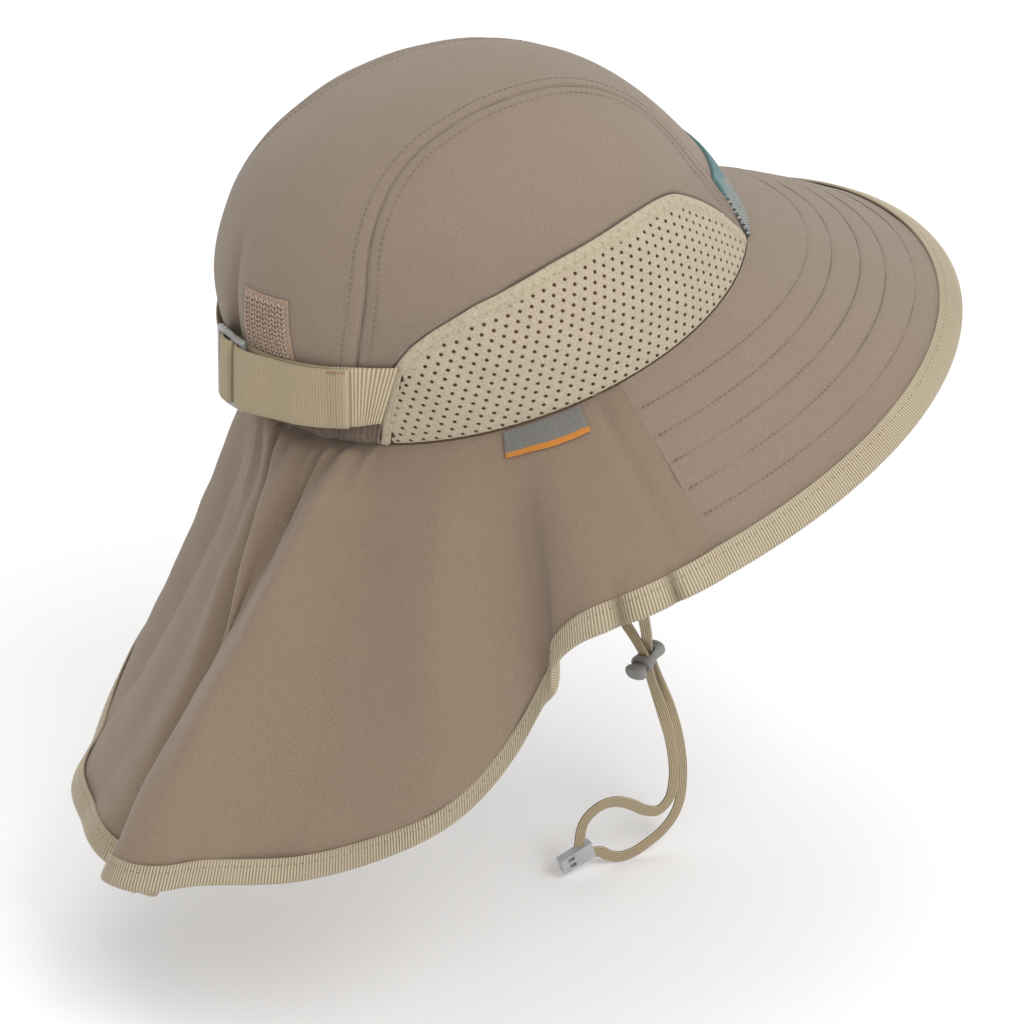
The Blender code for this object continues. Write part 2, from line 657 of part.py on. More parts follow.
def build_strap(webbing, plastic, hook):
    low = STRAP_CLEARANCE + STRAP_WALL / 2
    slider_foot = STRAP_CLEARANCE + STRAP_WALL + STRAP_CLEARANCE
    slider_top = slider_foot + SLIDER_WALL
    high = slider_top + STRAP_CLEARANCE + STRAP_WALL / 2
    edge = SLIDER_LENGTH / 2
    slot_edge = edge - SLIDER_BAR
    resting = low + STRAP_WALL + TOUCH
    middle_depth = (slider_foot + slider_top) / 2
    turn = STRAP_WALL / 2 + STRAP_ROLL
    right_path = [(-along, low) for along in (STRAP_REACH, 54 * MM, 44 * MM, 34 * MM, 24 * MM)]
    right_path += [(-edge - 3 * MM, low), (-slot_edge - 0.6 * MM, low)]
    right_path += [(-slot_edge + turn * 0.55, low + 0.25 * MM), (-slot_edge + turn, low + 1.2 * MM),
                   (-slot_edge + turn, middle_depth), (-slot_edge + turn, high - 1.2 * MM),
                   (-slot_edge + turn * 0.55, high - 0.25 * MM)]
    right_path += [(-slot_edge - 0.6 * MM, high), (-edge - 3 * MM, high - 0.2 * MM)]
    right_path += [(-along, resting) for along in (24 * MM, 34 * MM, 44 * MM, OVERLAY_REACH)]
    ribbon("rear_strap_right", right_path, webbing)

    bar = SLIDER_CENTRE_BAR / 2
    rise = bar + turn + 0.8 * MM
    left_path = [(along, low) for along in (STRAP_REACH, 54 * MM, 44 * MM, 34 * MM, 24 * MM)]
    left_path += [(edge + 3 * MM, low), (slot_edge, low), (rise + 0.6 * MM, low + 0.3 * MM),
                  (rise, low + 1.2 * MM), (rise, middle_depth), (rise - 0.3 * MM, high - 1.1 * MM),
                  (rise - 1.0 * MM, high - 0.2 * MM), (0, high)]
    left_path += [(-bar - turn * 0.3, high - 0.2 * MM), (-bar - turn, high - 1.3 * MM),
                  (-bar - turn, middle_depth), (-bar - turn, low + 1.1 * MM),
                  (-bar - turn * 0.4, low + 0.1 * MM), (bar - 0.3 * MM, low)]
    ribbon("rear_strap_left", left_path, webbing)

    columns = (-edge, -slot_edge, -bar, bar, slot_edge, edge)
    rail = (SLIDER_HEIGHT - STRAP_WIDTH) / 2 - 0.6 * MM
    half_height = SLIDER_HEIGHT / 2
    levels = (-half_height, -half_height + rail, half_height - rail, half_height)
    holes = {(1, 1), (3, 1)}

    def slider_place(along, level, depth):
        centre, up = strap_frame(along, depth)
        return centre + up * level

    pierced_plate("strap_slider", columns, levels, holes, slider_foot, slider_top, slider_place, plastic)

    def patch(along, height, depth):
        return ring_point(back_angle(along, PATCH_LEVEL), height, depth)

    rise = PATCH_HEIGHT / 2
    wall("crown_patch", patch,
         steps(-PATCH_OFFSET - PATCH_WIDTH / 2, -PATCH_OFFSET + PATCH_WIDTH / 2, 6),
         steps(PATCH_LEVEL - rise, PATCH_LEVEL + rise, 5), TOUCH + PATCH_WALL, TOUCH, hook)


def pierced_plate(name, columns, levels, holes, foot, top, place, finish):
    """A plate made of cells, with the cells in holes left open right through."""
    points, faces, known = [], [], {}

    def corner(column, level, side):
        key = (column, level, side)
        if key not in known:
            known[key] = len(points)
            points.append(place(columns[column], levels[level], top if side else foot))
        return known[key]

    solid = {(column, level) for column in range(len(columns) - 1) for level in range(len(levels) - 1)}
    solid -= holes
    for column, level in sorted(solid):
        ring = [(column, level), (column + 1, level), (column + 1, level + 1), (column, level + 1)]
        for side in (0, 1):
            faces.append([corner(*spot, side) for spot in ring])
        beside = [(column, level - 1), (column + 1, level), (column, level + 1), (column - 1, level)]
        for number, neighbour in enumerate(beside):
            if neighbour not in solid:
                one, two = ring[number], ring[(number + 1) % 4]
                faces.append([corner(*one, 0), corner(*two, 0), corner(*two, 1), corner(*one, 1)])
    return new_object(name, points, faces, finish)


# The chin cord

def cord_start(side):
    """Where a cord is sewn up inside the crown, just within the mesh panel's wall."""
    inset = MESH_WALL + CORD_WALL_GAP + CORD_DIAMETER / 2
    angle = EAR_ANGLE * side
    points = []
    for height in (CORD_TUCK, 0, -5 * MM):
        turn = radians(angle)
        level = Vector((-sin(turn) * HALF_WIDTH, -cos(turn) * HALF_LENGTH, height))
        points.append(tilted(level - outwards(angle) * inset))
    return points


def curve_through(points, step):
    """Evenly spaced points on a smooth curve through the chosen ones."""
    dense = []
    for index in range(len(points) - 1):
        one, two = points[index], points[index + 1]
        before = points[index - 1] if index else one * 2 - two
        after = points[index + 2] if index + 2 < len(points) else two * 2 - one
        for part in range(12):
            way = part / 12
            dense.append(0.5 * ((2 * one) + (two - before) * way
                                + (2 * before - 5 * one + 4 * two - after) * way ** 2
                                + (3 * one - before - 3 * two + after) * way ** 3))
    dense.append(points[-1])
    total = sum((dense[i + 1] - dense[i]).length for i in range(len(dense) - 1))
    count = ceil(total / step)
    spaced, travelled, target = [dense[0]], 0.0, total / count
    for index in range(len(dense) - 1):
        piece = (dense[index + 1] - dense[index]).length
        while travelled + piece >= target - 1e-9 and len(spaced) < count:
            spaced.append(dense[index].lerp(dense[index + 1], (target - travelled) / piece))
            target += total / count
        travelled += piece
    return spaced + [dense[-1]]


def cord_tube(name, points, finish):
    data = bpy.data.curves.new(name, "CURVE")
    data.dimensions = "3D"
    data.bevel_depth = CORD_DIAMETER / 2
    data.bevel_resolution = 2
    data.use_fill_caps = True
    route = curve_through(points, CORD_STEP)
    line = data.splines.new("POLY")
    line.points.add(len(route) - 1)
    for spot, point in zip(line.points, route):
        spot.co = (*point, 1)
    data.materials.append(finish)
    made = bpy.data.objects.new(name, data)
    bpy.context.collection.objects.link(made)


def clip_frame():
    across = Vector((0, CLIP_AXIS.z, -CLIP_AXIS.y)).normalized()
    if across.z > 0:
        across = -across
    return CLIP_AXIS, across, Vector((1, 0, 0))


def build_cords(braid):
    along, across, _ = clip_frame()
    end_gap = TOUCH + 0.1 * MM
    left_end = CLIP_MOUTH + along * 5 * MM - across * (CLIP_WIDTH / 2 + end_gap)
    right_end = CLIP_MOUTH - along * 2.5 * end_gap + across * 1.2 * MM
    left = cord_start(-1) + [Vector(spot) * MM for spot in LEFT_ROUTE] + [left_end]
    right = cord_start(1) + [Vector((-spot[0], spot[1], spot[2])) * MM for spot in RIGHT_ROUTE]
    right += [right_end]
    cord_tube("chin_cord_left", left, braid)
    cord_tube("chin_cord_right", right, braid)


def oval_bar(name, half_width, half_depth, first, last, finish):
    """A bar of rounded section along the lock's own axis."""
    width_way = LOCK_AXIS.cross(LOCK_ALONG).normalized()
    sides = 16
    sections = []
    for place in (first, last):
        ring = []
        for number in range(sides):
            turn = 2 * pi * (number + 0.5) / sides
            squash = (abs(cos(turn)) ** 3 + abs(sin(turn)) ** 3) ** (-1 / 3)
            ring.append(LOCK_POINT + LOCK_AXIS * place
                        + width_way * half_width * squash * cos(turn)
                        + LOCK_ALONG * half_depth * squash * sin(turn))
        sections.append(ring)
    return loft(name, sections, finish)


def lock_box(name, first, last, half_width, half_depth, finish):
    width_way = LOCK_AXIS.cross(LOCK_ALONG).normalized()
    sections = []
    for place in (first, last):
        centre = LOCK_POINT + LOCK_AXIS * place
        sections.append([centre + width_way * half_width * x + LOCK_ALONG * half_depth * y
                         for x, y in ((-1, -1), (1, -1), (1, 1), (-1, 1))])
    return loft(name, sections, finish)


def combine(target, other, operation):
    """A Boolean with the other body, which is then taken away."""
    step = target.modifiers.new(operation.lower(), "BOOLEAN")
    step.operation = operation
    step.object = other
    bpy.context.view_layer.update()
    mesh = bpy.data.meshes.new_from_object(target.evaluated_get(bpy.context.evaluated_depsgraph_get()))
    target.modifiers.clear()
    old = target.data
    target.data = mesh
    bpy.data.meshes.remove(old)
    bpy.data.objects.remove(other)


def build_lock(plastic):
    slot_half = CORD_DIAMETER + 0.6 * MM
    half_width, half_depth = LOCK_WIDTH / 2, LOCK_DEPTH / 2
    first = -slot_half - LOCK_SIDE
    stem_end = slot_half + LOCK_END_WALL
    bore_end = stem_end + LOCK_TRAVEL + LOCK_FIT
    last = bore_end + LOCK_END_WALL
    far = LOCK_WIDTH
    barrel = oval_bar("cord_lock_barrel", half_width, half_depth, first, last, plastic)
    bore = oval_bar("bore", half_width - LOCK_WALL, half_depth - LOCK_WALL, first - MM, bore_end, plastic)
    combine(barrel, bore, "DIFFERENCE")
    slot = lock_box("slot", -slot_half, slot_half, LOCK_SLOT_WIDTH / 2, far, plastic)
    combine(barrel, slot, "DIFFERENCE")

    stem_width = half_width - LOCK_WALL - LOCK_FIT
    stem_depth = half_depth - LOCK_WALL - LOCK_FIT
    cap_foot = first - LOCK_TRAVEL - LOCK_FIT
    button = oval_bar("cord_lock_button", stem_width, stem_depth, cap_foot - MM, stem_end, plastic)
    cap = oval_bar("cap", half_width, half_depth, cap_foot - BUTTON_CAP, cap_foot, plastic)
    combine(button, cap, "UNION")
    gate = lock_box("gate", -slot_half - LOCK_TRAVEL, slot_half, LOCK_SLOT_WIDTH / 2, far, plastic)
    combine(button, gate, "DIFFERENCE")


def build_clip(plastic):
    along, across, outward = clip_frame()
    length, width = CLIP_WINDOW
    half = CLIP_WIDTH / 2
    start = CLIP_LENGTH - CLIP_END_BAR - length
    inner = half - CLIP_RAIL
    columns = (0, start / 2, start, start + length, CLIP_LENGTH)
    levels = (-half, -inner, -inner + width, inner - width, inner, half)
    holes = {(2, 1), (2, 3)}

    def place(column, level, side):
        taper = 1 - CLIP_TAPER * column / CLIP_LENGTH
        return CLIP_MOUTH + along * column + across * level * taper + outward * side

    pierced_plate("cord_end_clip", columns, levels, holes, -CLIP_THICKNESS / 2, CLIP_THICKNESS / 2,
                  place, plastic)


def main():
    clear_scene()
    taupe = material("taupe nylon", (0.30, 0.24, 0.19), 0.85)
    sand_mesh = material("sand mesh", (0.56, 0.50, 0.36), 0.9)
    teal = material("teal webbing", (0.16, 0.30, 0.32), 0.85)
    tape = material("sand ribbed tape", (0.48, 0.40, 0.26), 0.8)
    beige = material("beige webbing", (0.42, 0.35, 0.22), 0.75)
    grey = material("grey plastic", (0.18, 0.18, 0.17), 0.5)
    light_grey = material("light grey plastic", (0.50, 0.50, 0.50), 0.45)
    clear_grey = material("clear grey plastic", (0.45, 0.45, 0.42), 0.3)
    loop = material("brown loop pile", (0.38, 0.28, 0.22), 0.95)
    tag = material("grey woven label", (0.28, 0.27, 0.26), 0.8)
    build_crown(taupe, sand_mesh, teal)
    build_skirt(taupe, tape, tag)
    build_casing(taupe)
    build_strap(beige, clear_grey, loop)
    build_cords(beige)
    build_lock(grey)
    build_clip(light_grey)


main()
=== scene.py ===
from math import cos, degrees, pi, radians, sin

import bpy
import numpy as np
from mathutils import Matrix, Vector


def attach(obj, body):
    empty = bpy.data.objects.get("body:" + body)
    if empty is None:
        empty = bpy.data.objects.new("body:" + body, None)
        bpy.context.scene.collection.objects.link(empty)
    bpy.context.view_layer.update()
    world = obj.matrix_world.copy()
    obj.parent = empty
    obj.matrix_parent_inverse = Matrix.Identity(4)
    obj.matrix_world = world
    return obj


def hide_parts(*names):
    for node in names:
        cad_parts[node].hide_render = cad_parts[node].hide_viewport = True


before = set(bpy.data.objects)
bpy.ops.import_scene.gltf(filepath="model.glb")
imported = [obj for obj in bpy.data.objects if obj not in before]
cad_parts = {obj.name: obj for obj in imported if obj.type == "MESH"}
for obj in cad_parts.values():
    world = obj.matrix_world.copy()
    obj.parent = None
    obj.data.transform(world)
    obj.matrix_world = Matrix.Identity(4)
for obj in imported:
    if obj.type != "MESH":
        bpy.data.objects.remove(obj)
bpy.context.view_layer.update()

mm = 0.001
print("frame loaded")


# small helpers

def nothingSelected():
    if bpy.context.object and bpy.context.object.mode != "OBJECT":
        bpy.ops.object.mode_set(mode="OBJECT")
    bpy.ops.object.select_all(action="DESELECT")


def pick(piece):
    nothingSelected()
    piece.select_set(True)
    bpy.context.view_layer.objects.active = piece


def applyStep(piece, kind, **settings):
    pick(piece)
    step = piece.modifiers.new(kind.lower(), kind)
    for name, setting in settings.items():
        setattr(step, name, setting)
    bpy.ops.object.modifier_apply(modifier=step.name)


def edited(piece, *operators):
    # operators of edit mode, each with its settings, on the whole piece
    pick(piece)
    bpy.ops.object.mode_set(mode="EDIT")
    bpy.ops.mesh.select_all(action="SELECT")
    for operator, settings in operators:
        operator(**settings)
    bpy.ops.object.mode_set(mode="OBJECT")


def faceRows(piece):
    faces = piece.data.polygons
    normals, centres = np.empty(len(faces) * 3), np.empty(len(faces) * 3)
    faces.foreach_get("normal", normals)
    faces.foreach_get("center", centres)
    return normals.reshape(-1, 3), centres.reshape(-1, 3)


def turnOut(piece, inside, share=(1, 1, 1)):
    # faces point away from a place inside, or all of them are flipped
    normals, centres = faceRows(piece)
    if (normals * (centres * np.array(share) - np.array(inside))).sum() < 0:
        edited(piece, (bpy.ops.mesh.flip_normals, {}))


def turnUp(piece):
    # the brim's and flap's outer side is the one that faces out and up
    turnOut(piece, (0, 0.02, -0.12), (1, 1, 0))


def smoothed(piece, angle=50):
    pick(piece)
    bpy.ops.object.shade_smooth_by_angle(angle=radians(angle))


def dressed(piece, finish, nodes=(), body="hat"):
    piece.data.materials.clear()
    piece.data.materials.append(finish)
    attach(piece, body)
    if nodes:
        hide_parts(*nodes)
    return piece


def sewn(piece, wall, finish, nodes=(), offset=-1, angle=50):
    # a surface becomes cloth: it gets its wall, its smooth look and its finish
    applyStep(piece, "SOLIDIFY", thickness=wall, offset=offset)
    smoothed(piece, angle)
    return dressed(piece, finish, nodes)


def unit(rows):
    return rows / np.maximum(np.linalg.norm(rows, axis=-1, keepdims=True), 1e-12)


def rows3(x, y, z):
    return np.stack(np.broadcast_arrays(x, y, z), axis=-1).astype(float)


def ease(low, high, value):
    way = np.clip((np.asarray(value, float) - low) / (high - low), 0, 1)
    return way * way * (3 - 2 * way)


def readTable(rows, place, column):
    # a column of a table at any place, on a smooth curve through its rows
    table = np.array(rows, float)
    at, value = table[:, 0], table[:, column]
    slope = np.empty(len(at))
    slope[1:-1] = (value[2:] - value[:-2]) / (at[2:] - at[:-2])
    slope[0] = (value[1] - value[0]) / (at[1] - at[0])
    slope[-1] = (value[-1] - value[-2]) / (at[-1] - at[-2])
    place = np.asarray(place, float)
    row = np.clip(np.searchsorted(at, place, side="right") - 1, 0, len(at) - 2)
    span = at[row + 1] - at[row]
    way = np.clip((place - at[row]) / span, 0, 1)
    square, cube = way ** 2, way ** 3
    return ((2 * cube - 3 * square + 1) * value[row] + (cube - 2 * square + way) * slope[row] * span
            + (3 * square - 2 * cube) * value[row + 1] + (cube - square) * slope[row + 1] * span)


def ruffle(along, across, seed, size):
    # smooth irregular waves, from -1 to 1, for cloth that isn't quite flat
    dice = np.random.RandomState(seed)
    total = 0
    for octave in range(6):
        turn, shift = dice.uniform(0, pi), dice.uniform(0, 2 * pi)
        wave = size * dice.uniform(0.6, 1.7)
        total = total + np.sin(2 * pi * (along * cos(turn) + across * sin(turn)) / wave + shift)
    return total / 4.2


def clothGrid(name, columns, rows, place, metres, inside, shadingMark=None):
    # a grid primitive whose points are set out on a surface; u and v run from 0 to 1
    nothingSelected()
    bpy.ops.mesh.primitive_grid_add(x_subdivisions=columns, y_subdivisions=rows, size=1)
    piece = bpy.context.object
    piece.name = piece.data.name = name
    mesh = piece.data
    spots = np.empty(len(mesh.vertices) * 3)
    mesh.vertices.foreach_get("co", spots)
    spots = spots.reshape(-1, 3)
    across, along = np.clip(spots[:, 0] + 0.5, 0, 1), np.clip(spots[:, 1] + 0.5, 0, 1)
    mesh.vertices.foreach_set("co", place(across, along).ravel())
    layer = mesh.uv_layers[0] if mesh.uv_layers else mesh.uv_layers.new()
    layer.name = "cloth"
    corner = np.empty(len(mesh.loops), int)
    mesh.loops.foreach_get("vertex_index", corner)
    lengths = np.stack(np.broadcast_arrays(*metres(across, along)), axis=-1)
    layer.data.foreach_set("uv", lengths[corner].astype(float).ravel())
    # the mark that the finishes read for painted shade and light
    mark = mesh.attributes.new("shadingMark", "FLOAT", "POINT")
    mark.data.foreach_set("value", np.zeros(len(mesh.vertices)) if shadingMark is None else
                          np.broadcast_to(shadingMark(across, along), across.shape).astype(float))
    mesh.update()
    turnOut(piece, inside)
    return piece


# materials

def paint(red, green, blue):
    return tuple(((tone / 255 + 0.055) / 1.055) ** 2.4 for tone in (red, green, blue)) + (1,)


class Wire:
    # one socket of a finish; arithmetic on it adds Math nodes
    def __init__(self, finish, socket):
        self.finish, self.socket = finish, socket

    def maths(self, operation, *values):
        made = self.finish.tree.nodes.new("ShaderNodeMath")
        made.operation = operation
        for number, value in enumerate(values):
            self.finish.feed(made.inputs[number], value)
        return Wire(self.finish, made.outputs[0])

    def __add__(self, other): return self.maths("ADD", self, other)
    def __radd__(self, other): return self.maths("ADD", other, self)
    def __sub__(self, other): return self.maths("SUBTRACT", self, other)
    def __rsub__(self, other): return self.maths("SUBTRACT", other, self)
    def __mul__(self, other): return self.maths("MULTIPLY", self, other)
    def __rmul__(self, other): return self.maths("MULTIPLY", other, self)
    def __truediv__(self, other): return self.maths("DIVIDE", self, other)
    def __rtruediv__(self, other): return self.maths("DIVIDE", other, self)
    def __pow__(self, other): return self.maths("POWER", self, other)
    def sine(self): return self.maths("SINE", self)
    def within(self, low, high):
        made = self.finish.node("ShaderNodeMapRange", {"interpolation_type": "SMOOTHSTEP"},
                                {"Value": self, "From Min": low, "From Max": high})
        return Wire(self.finish, made.outputs[0])


class Finish:
    def __init__(self, name, **constants):
        self.material = bpy.data.materials.new(name)
        self.material.use_nodes = True
        self.tree = self.material.node_tree
        self.shader = self.tree.nodes["Principled BSDF"]
        for socket, setting in constants.items():
            self.shader.inputs[socket.replace("_", " ")].default_value = setting

    def feed(self, socket, value):
        if isinstance(value, Wire):
            self.tree.links.new(value.socket, socket)
        else:
            socket.default_value = value

    def node(self, kind, settings=None, inputs=None):
        made = self.tree.nodes.new(kind)
        for name, setting in (settings or {}).items():
            setattr(made, name, setting)
        for name, value in (inputs or {}).items():
            self.feed(made.inputs[name], value)
        return made

    def place(self):
        return Wire(self, self.node("ShaderNodeTexCoord").outputs["Object"])

    def cloth(self):
        # metres along and across the cloth
        split = self.node("ShaderNodeSeparateXYZ", inputs={
            0: Wire(self, self.node("ShaderNodeUVMap", {"uv_map": "cloth"}).outputs[0])})
        return Wire(self, split.outputs[0]), Wire(self, split.outputs[1])

    def mark(self, name):
        return Wire(self, self.node("ShaderNodeAttribute", {"attribute_name": name}).outputs["Fac"])

    def noise(self, scale, detail=3.0, rough=0.55):
        made = self.node("ShaderNodeTexNoise", inputs={
            "Vector": self.place(), "Scale": scale, "Detail": detail, "Roughness": rough})
        return Wire(self, made.outputs[0])

    def mix(self, factor, one, two):
        made = self.node("ShaderNodeMix", {"data_type": "RGBA"}, {0: factor, 6: one, 7: two})
        return Wire(self, made.outputs[2])

    def done(self, colour, rough, relief=None, depth=0.0002):
        self.feed(self.shader.inputs["Base Color"], colour)
        self.feed(self.shader.inputs["Roughness"], rough)
        if relief is not None:
            bump = self.node("ShaderNodeBump", inputs={"Height": relief, "Distance": depth, "Strength": 1.0})
            self.tree.links.new(bump.outputs[0], self.shader.inputs["Normal"])
        return self.material


def wovenFinish(name, light, dark, pitch=0.55 * mm):
    # plain weave: threads both ways, small slubs and a faint drift of tone, and painted shade where the shading mark
    # is set
    finish = Finish(name, Sheen_Weight=0.2, Sheen_Roughness=0.5, Specular_IOR_Level=0.25)
    along, across = finish.cloth()
    weave = (along * (2 * pi / pitch)).sine() * (across * (2 * pi / pitch)).sine()
    slub = finish.noise(1100.0, 2.0)
    cloud = finish.noise(24.0, 3.0)
    fine = finish.noise(2600.0, 2.0)
    shadingMark = finish.mark("shadingMark")
    colour = finish.mix((slub * 0.5 + fine * 0.5).within(0.32, 0.68), dark, light)
    colour = finish.mix(cloud.within(0.3, 0.7) * 0.22, colour, dark)
    # painted shade: the cloth is darker in seams, along stitch rows, on the casing and under it
    colour = finish.mix(shadingMark * 0.55, colour, tuple(part * 0.45 for part in dark[:3]) + (1,))
    relief = weave * 0.5 + fine * 0.9 + slub * 0.6
    return finish.done(colour, 0.78 + cloud * 0.14, relief, 0.00010)


def ribFinish(name, litRidge, shadedValley):
    finish = Finish(name, Sheen_Weight=0.2, Sheen_Roughness=0.4, Specular_IOR_Level=0.35)
    across = finish.cloth()[1]
    rib = finish.mark("shadingMark")
    thread = (across * (2 * pi / 0.42 / mm)).sine()
    fuzz = finish.noise(1500.0, 3.0)
    cloud = finish.noise(60.0, 3.0)
    # painted light and shade: rib ridges lighter, rib valleys darker, by the mark
    colour = finish.mix(rib.within(0.1, 0.9), shadedValley, litRidge)
    colour = finish.mix(cloud.within(0.35, 0.7) * 0.3, colour, tuple(p * 0.8 for p in litRidge[:3]) + (1,))
    return finish.done(colour, 0.62 + fuzz * 0.15, thread * 0.35 + fuzz, 0.00012)


def meshFinish():
    finish = Finish("sandMeshKnit", Sheen_Weight=0.2, Specular_IOR_Level=0.3)
    knit = finish.node("ShaderNodeTexVoronoi", inputs={"Vector": finish.place(), "Scale": 2300.0})
    loops = Wire(finish, knit.outputs["Distance"])
    speck = finish.noise(1300.0, 2.0, 0.7)
    cloud = finish.noise(90.0, 3.0)
    rimShade = finish.mark("shadingMark")
    tone = (loops * 0.5 + speck * 0.9).within(0.42, 0.95)
    colour = finish.mix(tone, paint(181, 169, 147), paint(157, 144, 122))
    colour = finish.mix(cloud.within(0.4, 0.7) * 0.2, colour, paint(163, 151, 128))
    # painted shade: the rims of the holes and the filled holes are darker
    colour = finish.mix(rimShade * 0.8, colour, paint(112, 97, 76))
    return finish.done(colour, 0.86, loops * -0.6 + speck * 0.5, 0.00025)


def braidFinish():
    finish = Finish("beigeBraid", Sheen_Weight=0.25, Specular_IOR_Level=0.35)
    along = finish.cloth()[0]
    rib = finish.mark("shadingMark")
    slant = ((along + (rib - 0.5) * 0.6 * mm) * (2 * pi / 0.9 / mm)).sine()
    fuzz = finish.noise(1500.0, 3.0)
    cloud = finish.noise(30.0, 3.0)
    # painted shade in the grooves between the braid's ribs, painted light on their crowns
    colour = finish.mix(rib.within(0.1, 0.85), paint(96, 78, 56), paint(192, 175, 142))
    colour = finish.mix(slant.within(-1.0, 1.0) * 0.35, colour, paint(148, 126, 92))
    colour = finish.mix(cloud.within(0.4, 0.7) * 0.3, colour, paint(168, 148, 112))
    return finish.done(colour, 0.66 + fuzz * 0.15, slant * 0.6 + fuzz * 0.5, 0.00015)


def plasticFinish(name, tone, shade, rough, **constants):
    finish = Finish(name, **constants)
    grain = finish.noise(2200.0, 2.0)
    cloud = finish.noise(120.0, 3.0)
    flow = finish.noise(400.0, 2.0)
    colour = finish.mix(cloud.within(0.35, 0.65), shade, tone)
    return finish.done(colour, rough + flow * 0.12, grain, 0.00004)


def bandFinish():
    # plain teal above, a plain diagonal hatch of three threads in the lower part
    finish = Finish("tealBand", Sheen_Weight=0.15, Specular_IOR_Level=0.25)
    along, across = finish.cloth()
    waver = finish.noise(120.0, 3.0)
    slant = ((along + across * 0.8) * (2 * pi / 2.0 / mm) + waver * 8.0).sine()
    counter = ((along * 0.7 - across) * (2 * pi / 1.5 / mm) + waver * 5.0).sine()
    patch = finish.noise(150.0, 2.0)
    hatch = (across * -1.0 + 0.016 + patch * 0.014).within(0.0, 0.008)
    weave = (along * (2 * pi / 0.6 / mm)).sine() * (across * (2 * pi / 0.6 / mm)).sine()
    plain = finish.mix(patch.within(0.35, 0.65), paint(92, 128, 130), paint(110, 146, 147))
    woven = finish.mix(slant.within(-0.2, 0.5), paint(74, 108, 113), paint(206, 206, 198))
    woven = finish.mix(counter.within(0.35, 0.8) * 0.8, woven, paint(112, 88, 68))
    colour = finish.mix(hatch, plain, woven)
    return finish.done(colour, 0.8, weave + patch * 0.4, 0.00015)


def labelFinish():
    finish = Finish("greyLabel", Sheen_Weight=0.15, Specular_IOR_Level=0.3)
    along, across = finish.cloth()
    weave = (along * (2 * pi / 0.5 / mm)).sine() * (across * (2 * pi / 0.4 / mm)).sine()
    stripe = (across - 0.0070).within(0.0, 0.0004)
    cloud = finish.noise(1400.0, 2.0)
    colour = finish.mix(cloud.within(0.3, 0.7), paint(110, 108, 103), paint(124, 122, 116))
    colour = finish.mix(stripe, colour, paint(198, 126, 46))
    return finish.done(colour, 0.75, weave, 0.00012)


def threadFinish(name, light, dark):
    finish = Finish(name, Sheen_Weight=0.2, Specular_IOR_Level=0.35)
    twist = finish.noise(1800.0, 2.0)
    return finish.done(finish.mix(twist.within(0.3, 0.7), dark, light), 0.7, twist, 0.00008)


def liningFinish():
    # the sweatband and mesh backing: a real sweatband, and a dark sheet that stands in for the shade inside the crown;
    # dark brown towards the front, back and bottom, orange-brown in the middle of each mesh side
    finish = Finish("brownLining", Specular_IOR_Level=0.2, Emission_Strength=0.22)
    knit = finish.noise(900.0, 3.0)
    dark = finish.mix(knit.within(0.35, 0.65), paint(96, 78, 62), paint(118, 98, 78))
    orangeMiddle = finish.mix(knit.within(0.35, 0.65), paint(150, 104, 66), paint(176, 122, 78))
    colour = finish.mix(finish.mark("shadingMark"), dark, orangeMiddle)
    finish.feed(finish.shader.inputs["Emission Color"], colour)   # painted glow: emission that stands in for daylight coming through the cloth
    return finish.done(colour, 0.85, knit, 0.0002)


def floorFinish():
    finish = Finish("studioFloor", Specular_IOR_Level=0.1)
    haze = finish.noise(1.5, 2.0)
    return finish.done(finish.mix(haze, paint(249, 249, 249), paint(252, 252, 252)), 0.9)


taupe = wovenFinish("taupeCloth", paint(138, 122, 106), paint(127, 111, 96))
flapTaupe = wovenFinish("taupeFlapCloth", paint(139, 120, 102), paint(128, 110, 93))
# a darker copy of the taupe cloth: painted shade for the casing under the strap and the seam tapes inside the crown
shadedTaupe = wovenFinish("taupeShadedCloth", paint(124, 108, 94), paint(106, 91, 78))
sandTape = ribFinish("sandTape", paint(192, 179, 153), paint(122, 107, 84))
webbing = ribFinish("beigeWebbing", paint(166, 151, 123), paint(134, 118, 91))
underWebbing = ribFinish("paleWebbing", paint(190, 176, 147), paint(140, 124, 97))
sandMesh = meshFinish()
beigeBraid = braidFinish()
tealBand = bandFinish()
greyLabel = labelFinish()
brownThread = threadFinish("brownThread", paint(112, 95, 81), paint(88, 73, 61))
seamThread = threadFinish("seamThread", paint(116, 100, 86), paint(94, 79, 67))
tapeThread = threadFinish("tapeThread", paint(150, 132, 102), paint(116, 99, 74))
paleThread = threadFinish("paleThread", paint(188, 175, 146), paint(150, 135, 106))
pileGround = wovenFinish("loopPileGround", paint(164, 143, 125), paint(142, 123, 107))
pileThread = threadFinish("pileThread", paint(176, 154, 136), paint(138, 117, 101))
greyThread = threadFinish("greyThread", paint(150, 148, 142), paint(112, 110, 106))
rustThread = threadFinish("rustThread", paint(172, 118, 74), paint(138, 96, 62))
lockGrey = plasticFinish("lockGrey", paint(136, 135, 132), paint(124, 123, 120), 0.5)
clipGrey = plasticFinish("clipGrey", paint(172, 174, 177), paint(160, 162, 165), 0.38)
clearGrey = plasticFinish("clearGrey", paint(176, 176, 172), paint(156, 156, 152), 0.22,
                          Transmission_Weight=0.35, IOR=1.49)
lining = liningFinish()
print("materials made")


# camera, floor and light

